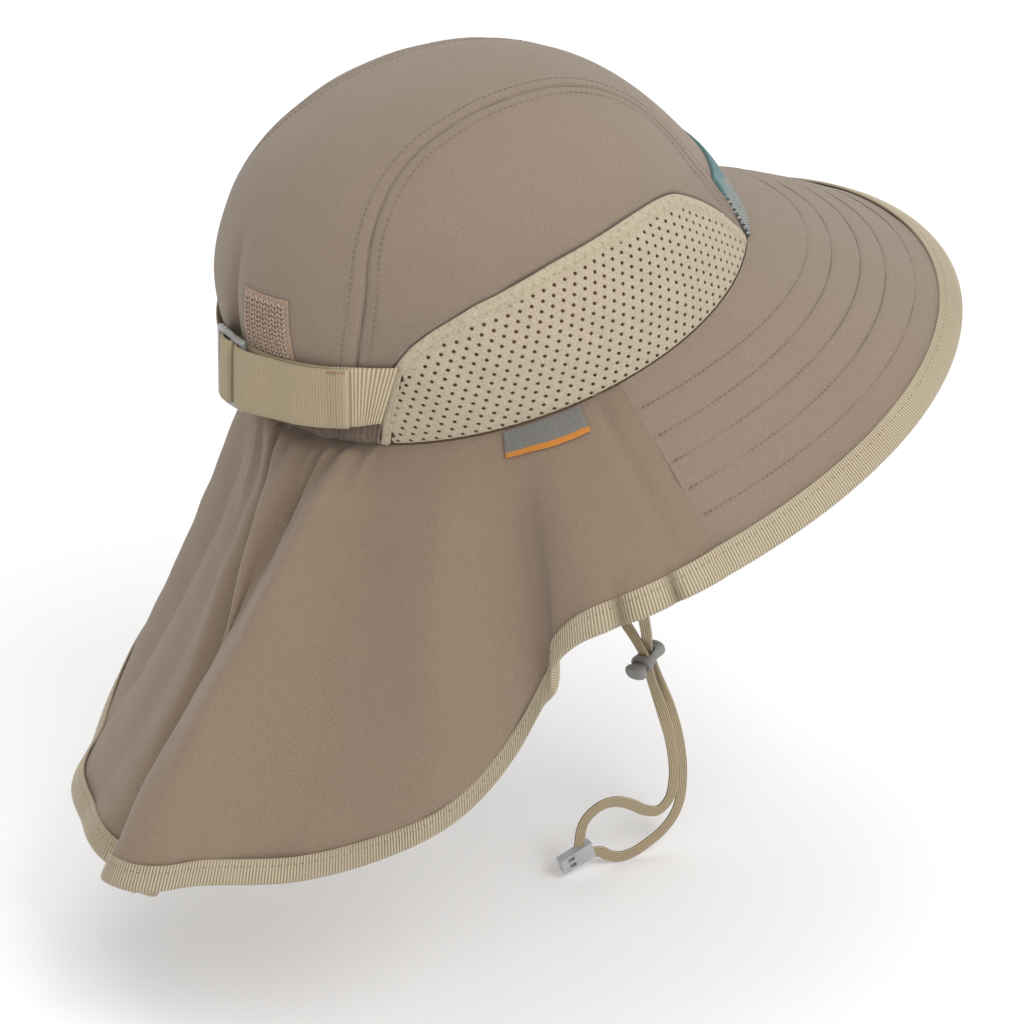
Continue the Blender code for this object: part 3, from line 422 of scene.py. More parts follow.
view = {
    "place": (-1.20085, 0.68079, 0.63812),
    "right": (-0.49582, -0.868424, 0.001815),
    "up": (0.408055, -0.23113, 0.883216),
    "back": (-0.766586, 0.438656, 0.468963),
    "lens": 139.728,
    "floor": -0.2772,
    "sky": 0.84,
}
lamps = (   # name, place, aim, size in metres, watts
    ("keyLight", (-1.5, -0.2, 1.6), (0, 0, -0.05), 1.2, 20),
    ("topLight", (0.2, 0.1, 2.2), (0, 0, -0.1), 1.6, 9),
    ("sideLight", (-1.8, -0.5, 0.6), (0, 0, -0.08), 1.4, 5))


def setCamera():
    data = bpy.data.cameras.new("photoCamera")
    data.lens, data.sensor_width, data.clip_end = view["lens"], 36, 50
    camera = bpy.data.objects.new("photoCamera", data)
    bpy.context.collection.objects.link(camera)
    turn = Matrix((view["right"], view["up"], view["back"])).transposed()
    camera.matrix_world = Matrix.Translation(view["place"]) @ turn.to_4x4()
    bpy.context.scene.camera = camera


def areaLight(name, place, aim, size, watts):
    data = bpy.data.lights.new(name, "AREA")
    data.shape, data.size, data.energy = "DISK", size, watts
    lamp = bpy.data.objects.new(name, data)
    bpy.context.collection.objects.link(lamp)
    lamp.location = place
    lamp.rotation_euler = (Vector(aim) - Vector(place)).to_track_quat("-Z", "Y").to_euler()


setCamera()
nothingSelected()
bpy.ops.mesh.primitive_plane_add(size=16, location=(0, 0, view["floor"]))
floor = bpy.context.object
floor.name = "studioFloor"
floor.data.materials.append(floorFinish())
world = bpy.data.worlds.new("softStudio")
bpy.context.scene.world = world
world.use_nodes = True
world.node_tree.nodes["Background"].inputs["Color"].default_value = (1, 1, 1, 1)
world.node_tree.nodes["Background"].inputs["Strength"].default_value = view["sky"]
for lamp in lamps:
    areaLight(*lamp)
bpy.context.scene.view_settings.view_transform = "Standard"
print("studio set")


# the hat's own surfaces, in metres, pitched as it is worn

hat = {
    "halfLength": 0.100, "halfWidth": 0.090, "crownHeight": 0.100, "roundness": 2.26, "lean": 0.14,
    "fullness": 0.15, "pitch": radians(15.7), "seamGap": 0.3 * mm, "meshHeight": 0.050, "sideStart": 0.05,
    "casingHeight": 33.5 * mm, "flapLength": 0.185, "wall": 1.2 * mm,
}
middlePanel = ((0, .515), (.16, .480), (.24, .345), (.33, .300), (.44, .330), (.54, .360), (.65, .410),
               (.77, .520), (.85, .590), (.92, .610), (1, .600))
meshTop = ((0, .05), (.022, .22), (.042, .39), (.08, .60), (.115, .744), (.152, .856), (.20, .93), (.26, .98),
           (.34, 1.02), (.41, 1.04), (.487, 1.056), (.567, 1.06), (.665, 1.04), (.712, 1.024), (.77, 1.005),
           (.83, .96), (.89, .904), (.947, .82), (1, .69))
meshEnds = (32.3, 132.3, 144.6)   # front, back at the top and back at the foot, in degrees
hollow = (0, 0.02, 0.0)


def tilted(level):
    x, y, z = level[..., 0], level[..., 1], level[..., 2]
    return rows3(x, y * cos(hat["pitch"]) + z * sin(hat["pitch"]), z * cos(hat["pitch"]) - y * sin(hat["pitch"]))


def domeLevel(share):
    flat = share[..., 0] ** 2 + share[..., 1] ** 2
    return flat ** (hat["roundness"] / 2) + np.maximum(share[..., 2], 0) ** hat["roundness"]


def ontoDome(share):
    return share / domeLevel(share)[..., None] ** (1 / hat["roundness"])


def domeOutwards(share):
    power = hat["roundness"]
    side = np.maximum(share[..., 0] ** 2 + share[..., 1] ** 2, 1e-12) ** (power / 2 - 1)
    return unit(rows3(side * share[..., 0] / hat["halfWidth"], side * share[..., 1] / hat["halfLength"],
                      np.maximum(share[..., 2], 0) ** (power - 1) / hat["crownHeight"]))


def crownPoint(share, depth):
    place = share * np.array((hat["halfWidth"], hat["halfLength"], hat["crownHeight"]))
    place = place + domeOutwards(share) * np.broadcast_to(depth, share.shape[:-1])[..., None]
    height = place[..., 2]
    place[..., 1] += hat["lean"] * height + hat["fullness"] * height * (1 - height / hat["crownHeight"])
    return tilted(place)


def ringShare(angle, height):
    rise = np.asarray(height, float) / hat["crownHeight"]
    reach = (1 - np.maximum(rise, 0) ** hat["roundness"]) ** (1 / hat["roundness"])
    turn = np.radians(angle)
    return rows3(-np.sin(turn) * reach, -np.cos(turn) * reach, rise)


def ringPoint(angle, height, depth):
    return crownPoint(ringShare(angle, height), depth)


def archShare(across, lean):
    low, high = np.zeros_like(lean), np.full_like(lean, 1.5)
    for _ in range(34):
        reach = (low + high) / 2
        over = domeLevel(rows3(across, reach * np.cos(lean), reach * np.sin(lean))) > 1
        high, low = np.where(over, reach, high), np.where(over, low, reach)
    return rows3(across, -low * np.cos(lean), low * np.sin(lean))


def footAngle(across, height):
    rise = height / hat["crownHeight"]
    reach = (1 - rise ** hat["roundness"]) ** (2 / hat["roundness"]) - across ** 2
    return np.arctan2(rise, np.sqrt(np.maximum(reach, 1e-9)))


def middleShare(way, side):
    across = side * readTable(middlePanel, way, 1)
    front = footAngle(across, hat["seamGap"])
    back = pi - footAngle(across, hat["casingHeight"] + hat["seamGap"])
    return archShare(across, front + (back - front) * way)


def crease(share):
    # the soft furrow in the back of the crown, just above the strap
    lean = np.degrees(pi - np.arctan2(share[..., 2], -share[..., 1]))
    place = (share[..., 0] * hat["halfWidth"] - 4 * mm) / (5 * mm)
    sharp = (share[..., 0] * hat["halfWidth"] - 5 * mm) / (1.5 * mm)
    depth = 2.2 * mm * np.exp(-place ** 2) + 1.5 * mm * np.exp(-sharp ** 2)
    return -depth * ease(52, 26, lean) * ease(14, 20, lean)


def meshShare(way, rise, lift=0.0):
    front, backTop, backFoot = meshEnds
    back = backFoot + (backTop - backFoot) * rise
    top = readTable(meshTop, way, 1) * hat["meshHeight"] + lift
    return ringShare(front + (back - front) * way, hat["seamGap"] + rise * (top - hat["seamGap"]))


def sideShare(way, rise):
    low = meshShare(way, np.ones_like(way), 2 * hat["seamGap"])
    high = middleShare(hat["sideStart"] + (1 - hat["sideStart"]) * way, -np.ones_like(way))
    gap = np.linalg.norm(high - low, axis=-1) * hat["halfWidth"]
    margin = 0.05 * mm / np.maximum(gap, 1 * mm)
    return ontoDome(low + (high - low) * ((1 - margin) * rise)[..., None])


def mirrored(share, side):
    return share * np.array((side, 1.0, 1.0))


def seamRelief(distance, along):
    # the cloth rolls into the seam, lies thicker over the turned allowance and dips at the stitches
    roll = -0.40 * mm * np.exp(-(distance / (0.7 * mm)) ** 2)
    allowance = 0.30 * mm * ease(0.3 * mm, 1.5 * mm, distance) * ease(6.4 * mm, 5.0 * mm, distance)
    stitched = -0.22 * mm * np.exp(-((distance - sewing["fromEdge"]) / (0.7 * mm)) ** 2)
    pucker = 0.16 * mm * ruffle(along, distance * 0.25, 3, 7 * mm) * np.exp(-(distance / (8 * mm)) ** 2)
    return roll + allowance + stitched + pucker


sewing = {"fromEdge": 4.6 * mm, "sideFromEdge": 4.3 * mm, "lift": 0.10 * mm}


def crowded(share, power):
    # from -1 to 1, with the points closer together at both ends
    return np.tanh((share * 2 - 1) * power) / np.tanh(power)


def sideHeight(way):
    ends = sideShare(way, np.ones_like(way)) - sideShare(way, np.zeros_like(way))
    return np.linalg.norm(ends, axis=-1) * hat["halfWidth"]


# painted shade: darker in the seam's groove and faintly along its stitch row
def seamShade(distance):
    return (0.5 * np.exp(-(distance / (0.6 * mm)) ** 2)
            + 0.12 * np.exp(-((distance - sewing["fromEdge"]) / (0.8 * mm)) ** 2))


def makeCrown():
    def panel(side, way):
        across = crowded(side, 1.35)
        share = middleShare(way, across)
        width = readTable(middlePanel, way, 1) * hat["halfWidth"]
        distance = (1 - np.abs(across)) * width
        depth = crease(share) + seamRelief(distance, way * 0.3)
        depth = depth + 0.35 * mm * ruffle(way * 0.3, across * width, 11, 60 * mm) * ease(0, 15 * mm, distance)
        return crownPoint(share, depth)

    def lengths(side, way):
        return crowded(side, 1.35) * 0.036, way * 0.30

    # painted shade along the panel's seams
    def dark(side, way):
        width = readTable(middlePanel, way, 1) * hat["halfWidth"]
        return seamShade((1 - np.abs(crowded(side, 1.35))) * width)

    piece = clothGrid("crownCentrePanel", 110, 240, panel, lengths, hollow, dark)
    sewn(piece, hat["wall"], taupe, ["crown_centre_panel"])

    for side, word in ((1, "Right"), (-1, "Left")):
        def panel(way, rise, mirror=side):
            rise = crowded(rise, 1.2) / 2 + 0.5
            height = sideHeight(way)
            tuck = 2.4 * mm / np.maximum(height, 3 * mm)
            rise = rise * (1 + tuck) - tuck
            share = sideShare(way, rise)
            distance = (1 - rise) * height
            depth = seamRelief(distance, way * 0.28 + 0.4)
            depth = depth + 0.35 * mm * ruffle(way * 0.28, rise * height, 21, 50 * mm) * ease(0, 15 * mm, distance)
            depth = depth - 1.5 * mm * ease(1.4 * mm, -0.6 * mm, rise * height)
            return crownPoint(mirrored(share, mirror), depth)

        # painted shade along the panel's seams
        def dark(way, rise):
            return seamShade((0.5 - crowded(rise, 1.2) / 2) * sideHeight(way))

        piece = clothGrid("crownSidePanel" + word, 210, 70, panel, lambda way, rise: (way * 0.28, rise * 0.05),
                          hollow, dark)
        sewn(piece, hat["wall"], taupe, ["crown_side_panel_" + word.lower()])


makeCrown()
print("crown panels sewn")


# thread: one stitch is modelled, and copied along each row

stitch = {"length": 1.6 * mm, "radius": 0.22 * mm, "pitch": 2.3 * mm}


def modelStitch():
    nothingSelected()
    bpy.ops.mesh.primitive_cylinder_add(vertices=6, radius=stitch["radius"], depth=stitch["length"] * 0.6,
                                        rotation=(0, pi / 2, 0))
    piece = bpy.context.object
    bpy.ops.object.transform_apply(location=True, rotation=True, scale=True)
    for way in (-1, 1):
        bpy.ops.object.mode_set(mode="EDIT")
        bpy.ops.mesh.select_all(action="DESELECT")
        bpy.ops.object.mode_set(mode="OBJECT")
        for face in piece.data.polygons:
            face.select = face.normal.x * way > 0.9
        bpy.ops.object.mode_set(mode="EDIT")
        bpy.ops.mesh.extrude_region_move(TRANSFORM_OT_translate={
            "value": (way * stitch["length"] * 0.2, 0, -stitch["radius"] * 1.1)})
        bpy.ops.transform.resize(value=(1, 0.45, 0.45))
        bpy.ops.object.mode_set(mode="OBJECT")
    points = np.array([spot.co[:] for spot in piece.data.vertices])
    faces = [tuple(face.vertices) for face in piece.data.polygons]
    bpy.data.objects.remove(piece)
    return points, faces


def copies(name, points, faces, frames, finish, body="hat"):
    # frames: one row of place, along, across and up for each copy
    allPoints = []
    allFaces = []
    for number, (place, along, across, up) in enumerate(frames):
        allPoints.append(place + points[:, :1] * along + points[:, 1:2] * across + points[:, 2:] * up)
        start = number * len(points)
        allFaces += [tuple(start + corner for corner in face) for face in faces]
    mesh = bpy.data.meshes.new(name)
    mesh.from_pydata(np.concatenate(allPoints).tolist(), [], allFaces)
    mesh.shade_smooth()
    piece = bpy.data.objects.new(name, mesh)
    bpy.context.collection.objects.link(piece)
    return dressed(piece, finish, body=body)


def sewRow(track, facing, pitch=stitch["pitch"], lift=0.0):
    # frames for stitches, evenly along a track of points with the cloth's outward direction at each
    run = np.concatenate([[0], np.cumsum(np.linalg.norm(np.diff(track, axis=0), axis=1))])
    count = max(int(run[-1] / pitch), 1)
    at = (np.arange(count) + 0.5) * run[-1] / count

    def read(rows, where):
        return np.stack([np.interp(where, run, rows[:, axis]) for axis in range(3)], axis=-1)

    ahead = unit(read(track, at + pitch * 0.3) - read(track, at - pitch * 0.3))
    up = unit(read(facing, at))
    across = unit(np.cross(up, ahead))
    up = np.cross(ahead, across)
    return list(zip(read(track, at) + up * lift, ahead, across, up))


stitchPoints, stitchFaces = modelStitch()


def facingOf(surface, *places):
    # outward direction of a surface of two numbers, by small steps
    first, second = places
    step = 1e-3
    along = surface(first + step, second) - surface(first - step, second)
    across = surface(first, second + step) - surface(first, second - step)
    facing = unit(np.cross(along, across))
    sign = np.sign((facing * (surface(first, second) - np.array(hollow))).sum(-1, keepdims=True))
    return facing * sign


def sewCrown():
    frames = []

    def sew(share, depth):
        track = crownPoint(share, depth + sewing["lift"])
        return sewRow(track, crownPoint(share, 1 * mm) - crownPoint(share, 0))

    for side in (-1, 1):
        way = np.linspace(0.03, 0.995, 260)
        width = readTable(middlePanel, way, 1) * hat["halfWidth"]
        share = middleShare(way, side * (1 - sewing["fromEdge"] / width))
        frames += sew(share, crease(share))
        way = np.linspace(0.03, 0.985, 260)
        height = sideHeight(way)
        share = mirrored(sideShare(way, 1 - np.minimum(sewing["sideFromEdge"] / height, 0.9)), -side)
        frames += sew(share[height > 8 * mm], 0)
    copies("crownStitches", stitchPoints, stitchFaces, frames, seamThread)


sewCrown()
print("crown stitched")


# perforated mesh at the sides, with its folded hem

net = {"pitch": 4.9 * mm, "row": 3.2 * mm, "rows": 18, "hole": 0.53 * mm, "wall": 1.0 * mm,
       "hem": 5.6 * mm, "backHem": 3.4 * mm, "hemWall": 0.6 * mm}


def arcTable():
    angle = np.linspace(20, 160, 1400)
    turn = np.radians(angle)
    reach = (1 - 0.2 ** hat["roundness"]) ** (1 / hat["roundness"])
    speed = np.hypot(np.cos(turn) * hat["halfWidth"], np.sin(turn) * hat["halfLength"]) * reach * radians(0.1)
    return angle, np.cumsum(speed)


arcAngles, arcRuns = arcTable()


def angleAt(run):
    return np.interp(run, arcRuns, arcAngles)


def runAt(angle):
    return np.interp(angle, arcAngles, arcRuns)


def meshTopHeight(angle):
    way = np.clip((angle - meshEnds[0]) / (meshEnds[1] - meshEnds[0]), 0, 1)
    return readTable(meshTop, way, 1) * hat["meshHeight"]


def meshPlace(run, height, depth, side):
    wave = 0.5 * mm * ruffle(run, height, 31, 34 * mm) * ease(0, 8 * mm, height)
    return crownPoint(mirrored(ringShare(angleAt(run), height), side), depth + wave)


def modelNetCell():
    # one brick of the mesh with its round hole
    nothingSelected()
    bpy.ops.mesh.primitive_circle_add(vertices=8, radius=net["hole"])
    piece = bpy.context.object
    bpy.ops.object.mode_set(mode="EDIT")
    bpy.ops.mesh.select_all(action="SELECT")
    bpy.ops.mesh.extrude_edges_move()
    bpy.ops.transform.resize(value=(1.75, 1.75, 1))
    bpy.ops.mesh.extrude_edges_move()
    bpy.ops.transform.resize(value=(2.2, 2.2, 1))
    bpy.ops.object.mode_set(mode="OBJECT")
    points = np.array([spot.co[:] for spot in piece.data.vertices])
    faces = [tuple(face.vertices) for face in piece.data.polygons]
    bpy.data.objects.remove(piece)
    distance = np.hypot(points[:, 0], points[:, 1])
    outer = distance > net["hole"] * 2.5
    inner = distance < net["hole"] * 1.3
    points[outer, 0] = np.round(points[outer, 0] / distance[outer] / 0.70 - 1e-9) * net["pitch"] / 2
    points[outer, 1] = np.round(points[outer, 1] / distance[outer] / 0.70 - 1e-9) * net["row"] / 2
    points[inner, 2] = -0.30 * mm   # the punched edge turns in a little
    return points, faces, np.flatnonzero(inner)


def makeMesh(side, word):
    cell, faces, ring = modelNetCell()
    front, backTop, backFoot = meshEnds
    corner = meshTopHeight(backTop)
    first, last = runAt(front), runAt(backFoot)
    spots = []
    for row in range(net["rows"]):
        height = net["row"] * (row + 0.5)
        shift = net["pitch"] / 2 * (row % 2)
        for column in range(-1, int((last - first) / net["pitch"]) + 2):
            run = first + column * net["pitch"] + shift
            angle = angleAt(run)
            top = meshTopHeight(angle)
            back = backFoot - (backFoot - backTop) * min(height / corner, 1)
            if height > top - 2.0 * mm or run < first + 1 * mm or angle > back - 1.6:
                continue
            # holes under the folded edge stay filled, and their faces get the painted shade of a hole
            hidden = height > top - net["hem"] * 0.9 or angle > back - 3.0 or run < first + 3.5 * mm
            spots.append((run, height, hidden))
    points, allFaces, depth = [], [], []
    order = ring[np.argsort(np.arctan2(cell[ring, 1], cell[ring, 0]))]
    for number, (run, height, hidden) in enumerate(spots):
        points.append(cell + np.array((run, height, 0)))
        start = number * len(cell)
        allFaces += [tuple(start + corner for corner in face) for face in faces]
        if hidden:
            allFaces.append(tuple(start + corner for corner in order))
    flat = np.concatenate(points)
    mesh = bpy.data.meshes.new("meshPanel" + word)
    mesh.from_pydata(meshPlace(flat[:, 0], np.maximum(flat[:, 1], 0.3 * mm), flat[:, 2], side).tolist(), [], allFaces)
    # painted shade marks the rim of every hole
    mark = mesh.attributes.new("shadingMark", "FLOAT", "POINT")
    rimShade = np.tile(np.isin(np.arange(len(cell)), ring), len(spots)).astype(float)
    mark.data.foreach_set("value", rimShade)
    piece = bpy.data.objects.new("meshPanel" + word, mesh)
    bpy.context.collection.objects.link(piece)
    edited(piece, (bpy.ops.mesh.remove_doubles, {"threshold": 0.05 * mm}),
           (bpy.ops.mesh.normals_make_consistent, {"inside": False}))
    turnOut(piece, hollow)
    applyStep(piece, "SOLIDIFY", thickness=net["wall"], offset=-1)
    applyStep(piece, "SUBSURF", levels=1, render_levels=1)
    smoothed(piece, 60)
    dressed(piece, sandMesh, ["mesh_panel_" + word.lower()])

    # the hem: a folded strip round the panel's top and back
    angle = front + (backTop - front) * np.linspace(0, 1, 400)
    top = makeHem("meshHemTop" + word, side, runAt(angle), meshTopHeight(angle), net["hem"], first)
    makeHem("meshHemBack" + word, side, runAt(np.linspace(backTop, backFoot, 60)),
            np.linspace(corner, 0.4 * mm, 60), net["backHem"], first)
    u = np.linspace(0.01, 0.99, 300)
    v = np.full_like(u, 0.72)
    frames = sewRow(top(u, v, extra=0.1 * mm), facingOf(top, u, v))
    copies("meshHemStitches" + word, stitchPoints, stitchFaces, frames, paleThread)


def makeHem(name, side, run, height, width, first):
    slopeRun, slopeHeight = np.gradient(run), np.gradient(height)
    long = np.hypot(slopeRun, slopeHeight)
    inRun, inHeight = slopeHeight / long, -slopeRun / long
    total = np.cumsum(long)

    def spot(at, inward):
        return (np.interp(at, total, run) + np.interp(at, total, inRun) * inward,
                np.interp(at, total, height) + np.interp(at, total, inHeight) * inward)

    def strip(u, v, extra=0.0):
        at = u * total[-1]
        x, y = spot(at, v * width - 0.2 * mm)
        swell = 0.55 * mm * (1 - (2 * v - 1) ** 6) - 0.25 * mm * np.exp(-((v - 0.72) / 0.09) ** 2)
        pucker = 0.12 * mm * ruffle(at, v * 2 * mm, 41, 6 * mm)
        return meshPlace(x, np.maximum(y, 0.2 * mm), swell + pucker - 0.15 * mm + extra, side)

    def dimpleShade(u, v):
        # the holes of the folded layers, one over another, are painted as faint dark dimples: painted shade
        x, y = spot(u * total[-1], v * width)
        row = np.round(y / net["row"] - 0.5)
        shift = net["pitch"] / 2 * (row % 2)
        column = np.round((x - first - shift) / net["pitch"])
        away = np.hypot(x - first - shift - column * net["pitch"], y - net["row"] * (row + 0.5))
        return 0.75 * np.exp(-(away / (0.50 * mm)) ** 2)

    hem = clothGrid(name, int(total[-1] / (0.45 * mm)), 14, strip, lambda u, v: (u * total[-1], v * width),
                    hollow, dimpleShade)
    sewn(hem, net["hemWall"], sandMesh, angle=60)
    return strip


makeMesh(1, "Right")
makeMesh(-1, "Left")
print("mesh panels made")


# linings that show through the mesh and close the seams from inside

inside = {"depth": -2.6 * mm, "wall": 0.6 * mm, "low": -4 * mm, "high": 34 * mm, "overMesh": 3 * mm,
          "tape": 10 * mm, "tapeDepth": -1.4 * mm, "tapeWall": 0.5 * mm}


def makeLinings():
    def band(u, v):
        angle = -180 + 360 * u
        turned = np.abs(angle)
        share = ease(30, 36, turned) * ease(150, 142, turned)
        over = np.maximum(meshTopHeight(turned) + inside["overMesh"] - inside["high"], 0) * share
        top = inside["high"] + over
        return ringPoint(angle, inside["low"] + (top - inside["low"]) * v, inside["depth"])

    def orangeMiddle(u, v):
        return 0.8 * np.exp(-((np.abs(-180 + 360 * u) - 92) / 26) ** 4) * ease(0.1, 0.4, v)

    piece = clothGrid("innerBand", 260, 24, band, lambda u, v: (u * 0.6, v * 0.05), hollow, orangeMiddle)
    edited(piece, (bpy.ops.mesh.remove_doubles, {"threshold": 0.01 * mm}))
    sewn(piece, inside["wall"], lining)

    for side, word in ((-1, "Right"), (1, "Left")):
        def tape(v, way, side=side):
            width = readTable(middlePanel, way, 1) * hat["halfWidth"]
            share = middleShare(way, side * (1 + (v - 0.5) * inside["tape"] / width))
            return crownPoint(share, inside["tapeDepth"] + crease(share))

        piece = clothGrid("seamTape" + word, 8, 160, tape, lambda v, way: (v * 0.01, way * 0.3), hollow)
        sewn(piece, inside["tapeWall"], shadedTaupe)


makeLinings()
print("linings made")


# front band and the gathered casing at the back

band = {"height": 27.2 * mm, "halfSpan": 31, "narrows": 2.5, "wall": 1.1 * mm}
casing = {"low": -3 * mm, "height": 36.5 * mm, "gathers": 74, "tall": 1.8 * mm, "wall": 0.7 * mm}


def makeBand():
    def place(u, v):
        angle = (2 * u - 1) * (band["halfSpan"] - band["narrows"] * v)
        height = hat["seamGap"] + band["height"] * v
        edge = 0.35 * mm * (1 - np.abs(2 * v - 1) ** 8)
        return ringPoint(angle, height, 1.2 * mm + edge + 0.2 * mm * ruffle(angle * 1.7 * mm, height, 51, 30 * mm))

    piece = clothGrid("frontBand", 130, 44, place, lambda u, v: (u * 0.106, v * 0.0275), hollow)
    sewn(piece, band["wall"], tealBand, ["front_band"])


def makeCasing():
    dice = np.random.RandomState(7)
    peaks = np.cumsum(dice.uniform(0.7, 1.35, casing["gathers"]))
    peaks = peaks / peaks[-1]
    heights = dice.uniform(0.45, 1.0, casing["gathers"])

    def surface(u, v):
        height = casing["low"] + casing["height"] * v
        slant = (meshEnds[1] - meshEnds[2]) * np.maximum(height, 0) / (0.69 * hat["meshHeight"])
        first = meshEnds[2] + 0.3 + slant
        angle = first + (360 - 2 * first) * u
        place = u + 0.006 * np.sin(v * 5 + u * 40) + 0.004 * v
        gather = np.zeros_like(u)
        for peak, tall in zip(peaks, heights):
            gather += tall * np.exp(-np.abs((place - peak) / 0.0042) ** 1.7)
        bulge = 2.6 * mm * np.exp(-((height - 5 * mm) / (4.5 * mm)) ** 2) - 1.2 * mm * ease(1 * mm, -3 * mm, height)
        return ringPoint(angle, height, -1.6 * mm + bulge + casing["tall"] * np.minimum(gather, 1.15)
                         - 0.5 * mm * ease(0.9, 1.0, v))

    # the whole casing is painted a little darker still, as shade
    piece = clothGrid("elasticCasing", 620, 16, surface, lambda u, v: (u * 0.19, v * 0.033), hollow,
                      lambda u, v: 0.15)
    sewn(piece, casing["wall"], shadedTaupe, ["elastic_casing"])


makeBand()
makeCasing()
print("band and casing made")


# brim and neck flap

skirt = {
    "frontReach": 77.2 * mm, "frontDrop": 57 * mm, "sideReach": 48.4 * mm, "sideDrop": 60.7 * mm,
    "arch": 4 * mm, "brimWall": 2.4 * mm, "flapWall": 1.0 * mm, "foldHeight": 12 * mm, "setback": 0.6 * mm,
    "dip": 1.0 * mm, "bindingWidth": 9 * mm, "farDroop": 6.5 * mm, "short": 2 * mm,
    "rowsAtSide": (.135, .275, .41, .555, .70), "rowsAtFront": (.275, .374, .505, .622, .774),
}
hemTable = (   # angle, out, swing, down, belly, as shares of the flap's length
    (96, .270, .080, .320, .024), (102, .260, .045, .340, .030), (107, .242, .006, .370, .035),
    (110, .222, -.012, .424, .035), (114, .208, .018, .515, .038), (120, .202, .048, .605, .040),
    (128, .210, .050, .710, .040), (138, .235, .040, .785, .040), (150, .300, .010, .845, .035),
    (160, .410, -.010, .843, .030), (166, .485, .000, .856, .025), (170, .500, -.020, .872, .015),
    (175, .385, .030, .965, -.020), (181, .425, .000, .935, -.025), (190, .420, -.010, .940, -.035),
    (200, .410, .000, .955, -.050), (210, .385, .010, .950, -.038), (222, .330, .010, .870, -.020),
    (234, .260, -.020, .740, -.008), (241, .215, -.040, .600, .005), (247, .210, -.018, .490, .038),
    (251, .226, -.002, .405, .035), (258, .260, -.045, .340, .030), (264, .268, -.080, .322, .024))
foldTable = (  # angle at the crown, angle at the hem, height, half width, from, to
    (95.5, 95, -.16, 1.9, .05, .75), (118, 113, -.45, 7.0, .45, 1.00), (130, 134, .45, 9.0, .30, .90),
    (180, 190, -.30, 6.0, .15, .60), (196, 199, .15, 7.0, .20, .85), (208, 210, -.40, 6.0, .20, .75),
    (226, 223, .15, 8.0, .30, .90), (241, 246, -.40, 7.0, .45, 1.00))
ridgeTable = (  # share of the way down, angle of the main ridge, angle of the fold behind it
    (0, 151.2, 177), (.07, 152.8, 177.8), (.17, 155.9, 178.6), (.29, 158.4, 179.4), (.40, 160.7, 180.6),
    (.56, 163.4, 182.2), (.80, 165.8, 184), (1, 167, 185))
hemWaves = (   # angle, height in mm, half width of the waves where the brim's edge turns down
    (94.4, .8, 1.3), (97.4, -2.4, .9), (100.4, .8, 1.3), (103.2, -2.2, .9), (105.4, .5, .9))


def outwards(angle):
    turn = np.radians(angle)
    return unit(rows3(-np.sin(turn) * hat["halfLength"], -np.cos(turn) * hat["halfWidth"], 0))


def footPoint(angle):
    turn = np.radians(angle)
    level = rows3(-np.sin(turn) * hat["halfWidth"], -np.cos(turn) * hat["halfLength"], -skirt["dip"])
    return tilted(level - outwards(angle) * skirt["setback"])


def brimParts(angle):
    share = (np.cos(np.radians(angle)) ** 2)[..., None]
    reach = skirt["sideReach"] + (skirt["frontReach"] - skirt["sideReach"]) * share
    drop = skirt["sideDrop"] + (skirt["frontDrop"] - skirt["sideDrop"]) * share
    drop = drop + skirt["farDroop"] * ease(-5, -55, angle)[..., None]
    arch = skirt["arch"] * (1 - 0.7 * ease(-5, -50, angle))
    return tilted(outwards(angle) * reach), tilted(rows3(0, 0, -1) * drop), arch


def flapRows():
    # the brim's own shape at each ear, then the table between them
    ends = []
    for angle, side in ((90, 1), (270, -1)):
        reach, drop, arch = brimParts(np.array([90.0 * side]))
        ends.append((angle,) + tuple(part / hat["flapLength"] for part in (
            np.linalg.norm(reach[0]), -drop[0, 1] * side, -drop[0, 2], arch[0])))
    return (ends[0],) + hemTable + (ends[1],)


hemRows = flapRows()


def flapParts(angle):
    out, swing, down, belly = [readTable(hemRows, angle, column) * hat["flapLength"] for column in (1, 2, 3, 4)]
    away = outwards(angle)
    sideways = rows3(-away[..., 1], away[..., 0], 0)
    return away * out[..., None] + sideways * swing[..., None], rows3(0, 0, -down), belly


def skirtBase(angle, way):
    angle, way = np.broadcast_arrays(np.asarray(angle, float), np.asarray(way, float))
    angle = np.where(angle < -90, angle + 360, angle)
    onBrim = (np.abs(angle) <= 90) | (angle >= 270.0001)
    fromBrim, fromFlap = brimParts(angle), flapParts(angle)
    reach = np.where(onBrim[..., None], fromBrim[0], fromFlap[0])
    drop = np.where(onBrim[..., None], fromBrim[1], fromFlap[1])
    arch = np.where(onBrim, fromBrim[2], fromFlap[2])
    rise = np.where(arch > 0, way, np.sqrt(np.maximum(way, 0)))
    bow = 4 * rise * (1 - way) * arch
    return footPoint(angle) + (reach + drop) * way[..., None] + outwards(angle) * bow[..., None]


def normalOf(surface, angle, way):
    angle, way = np.broadcast_arrays(np.asarray(angle, float), np.asarray(way, float))
    along = surface(angle + 0.4, way) - surface(angle - 0.4, way)
    down = surface(angle, np.minimum(way + 0.01, 1)) - surface(angle, np.maximum(way - 0.01, 0))
    facing = unit(np.cross(down, along))
    sign = np.where((facing * (outwards(angle) + np.array((0, 0, 0.5)))).sum(-1, keepdims=True) > 0, 1, -1)
    return facing * sign


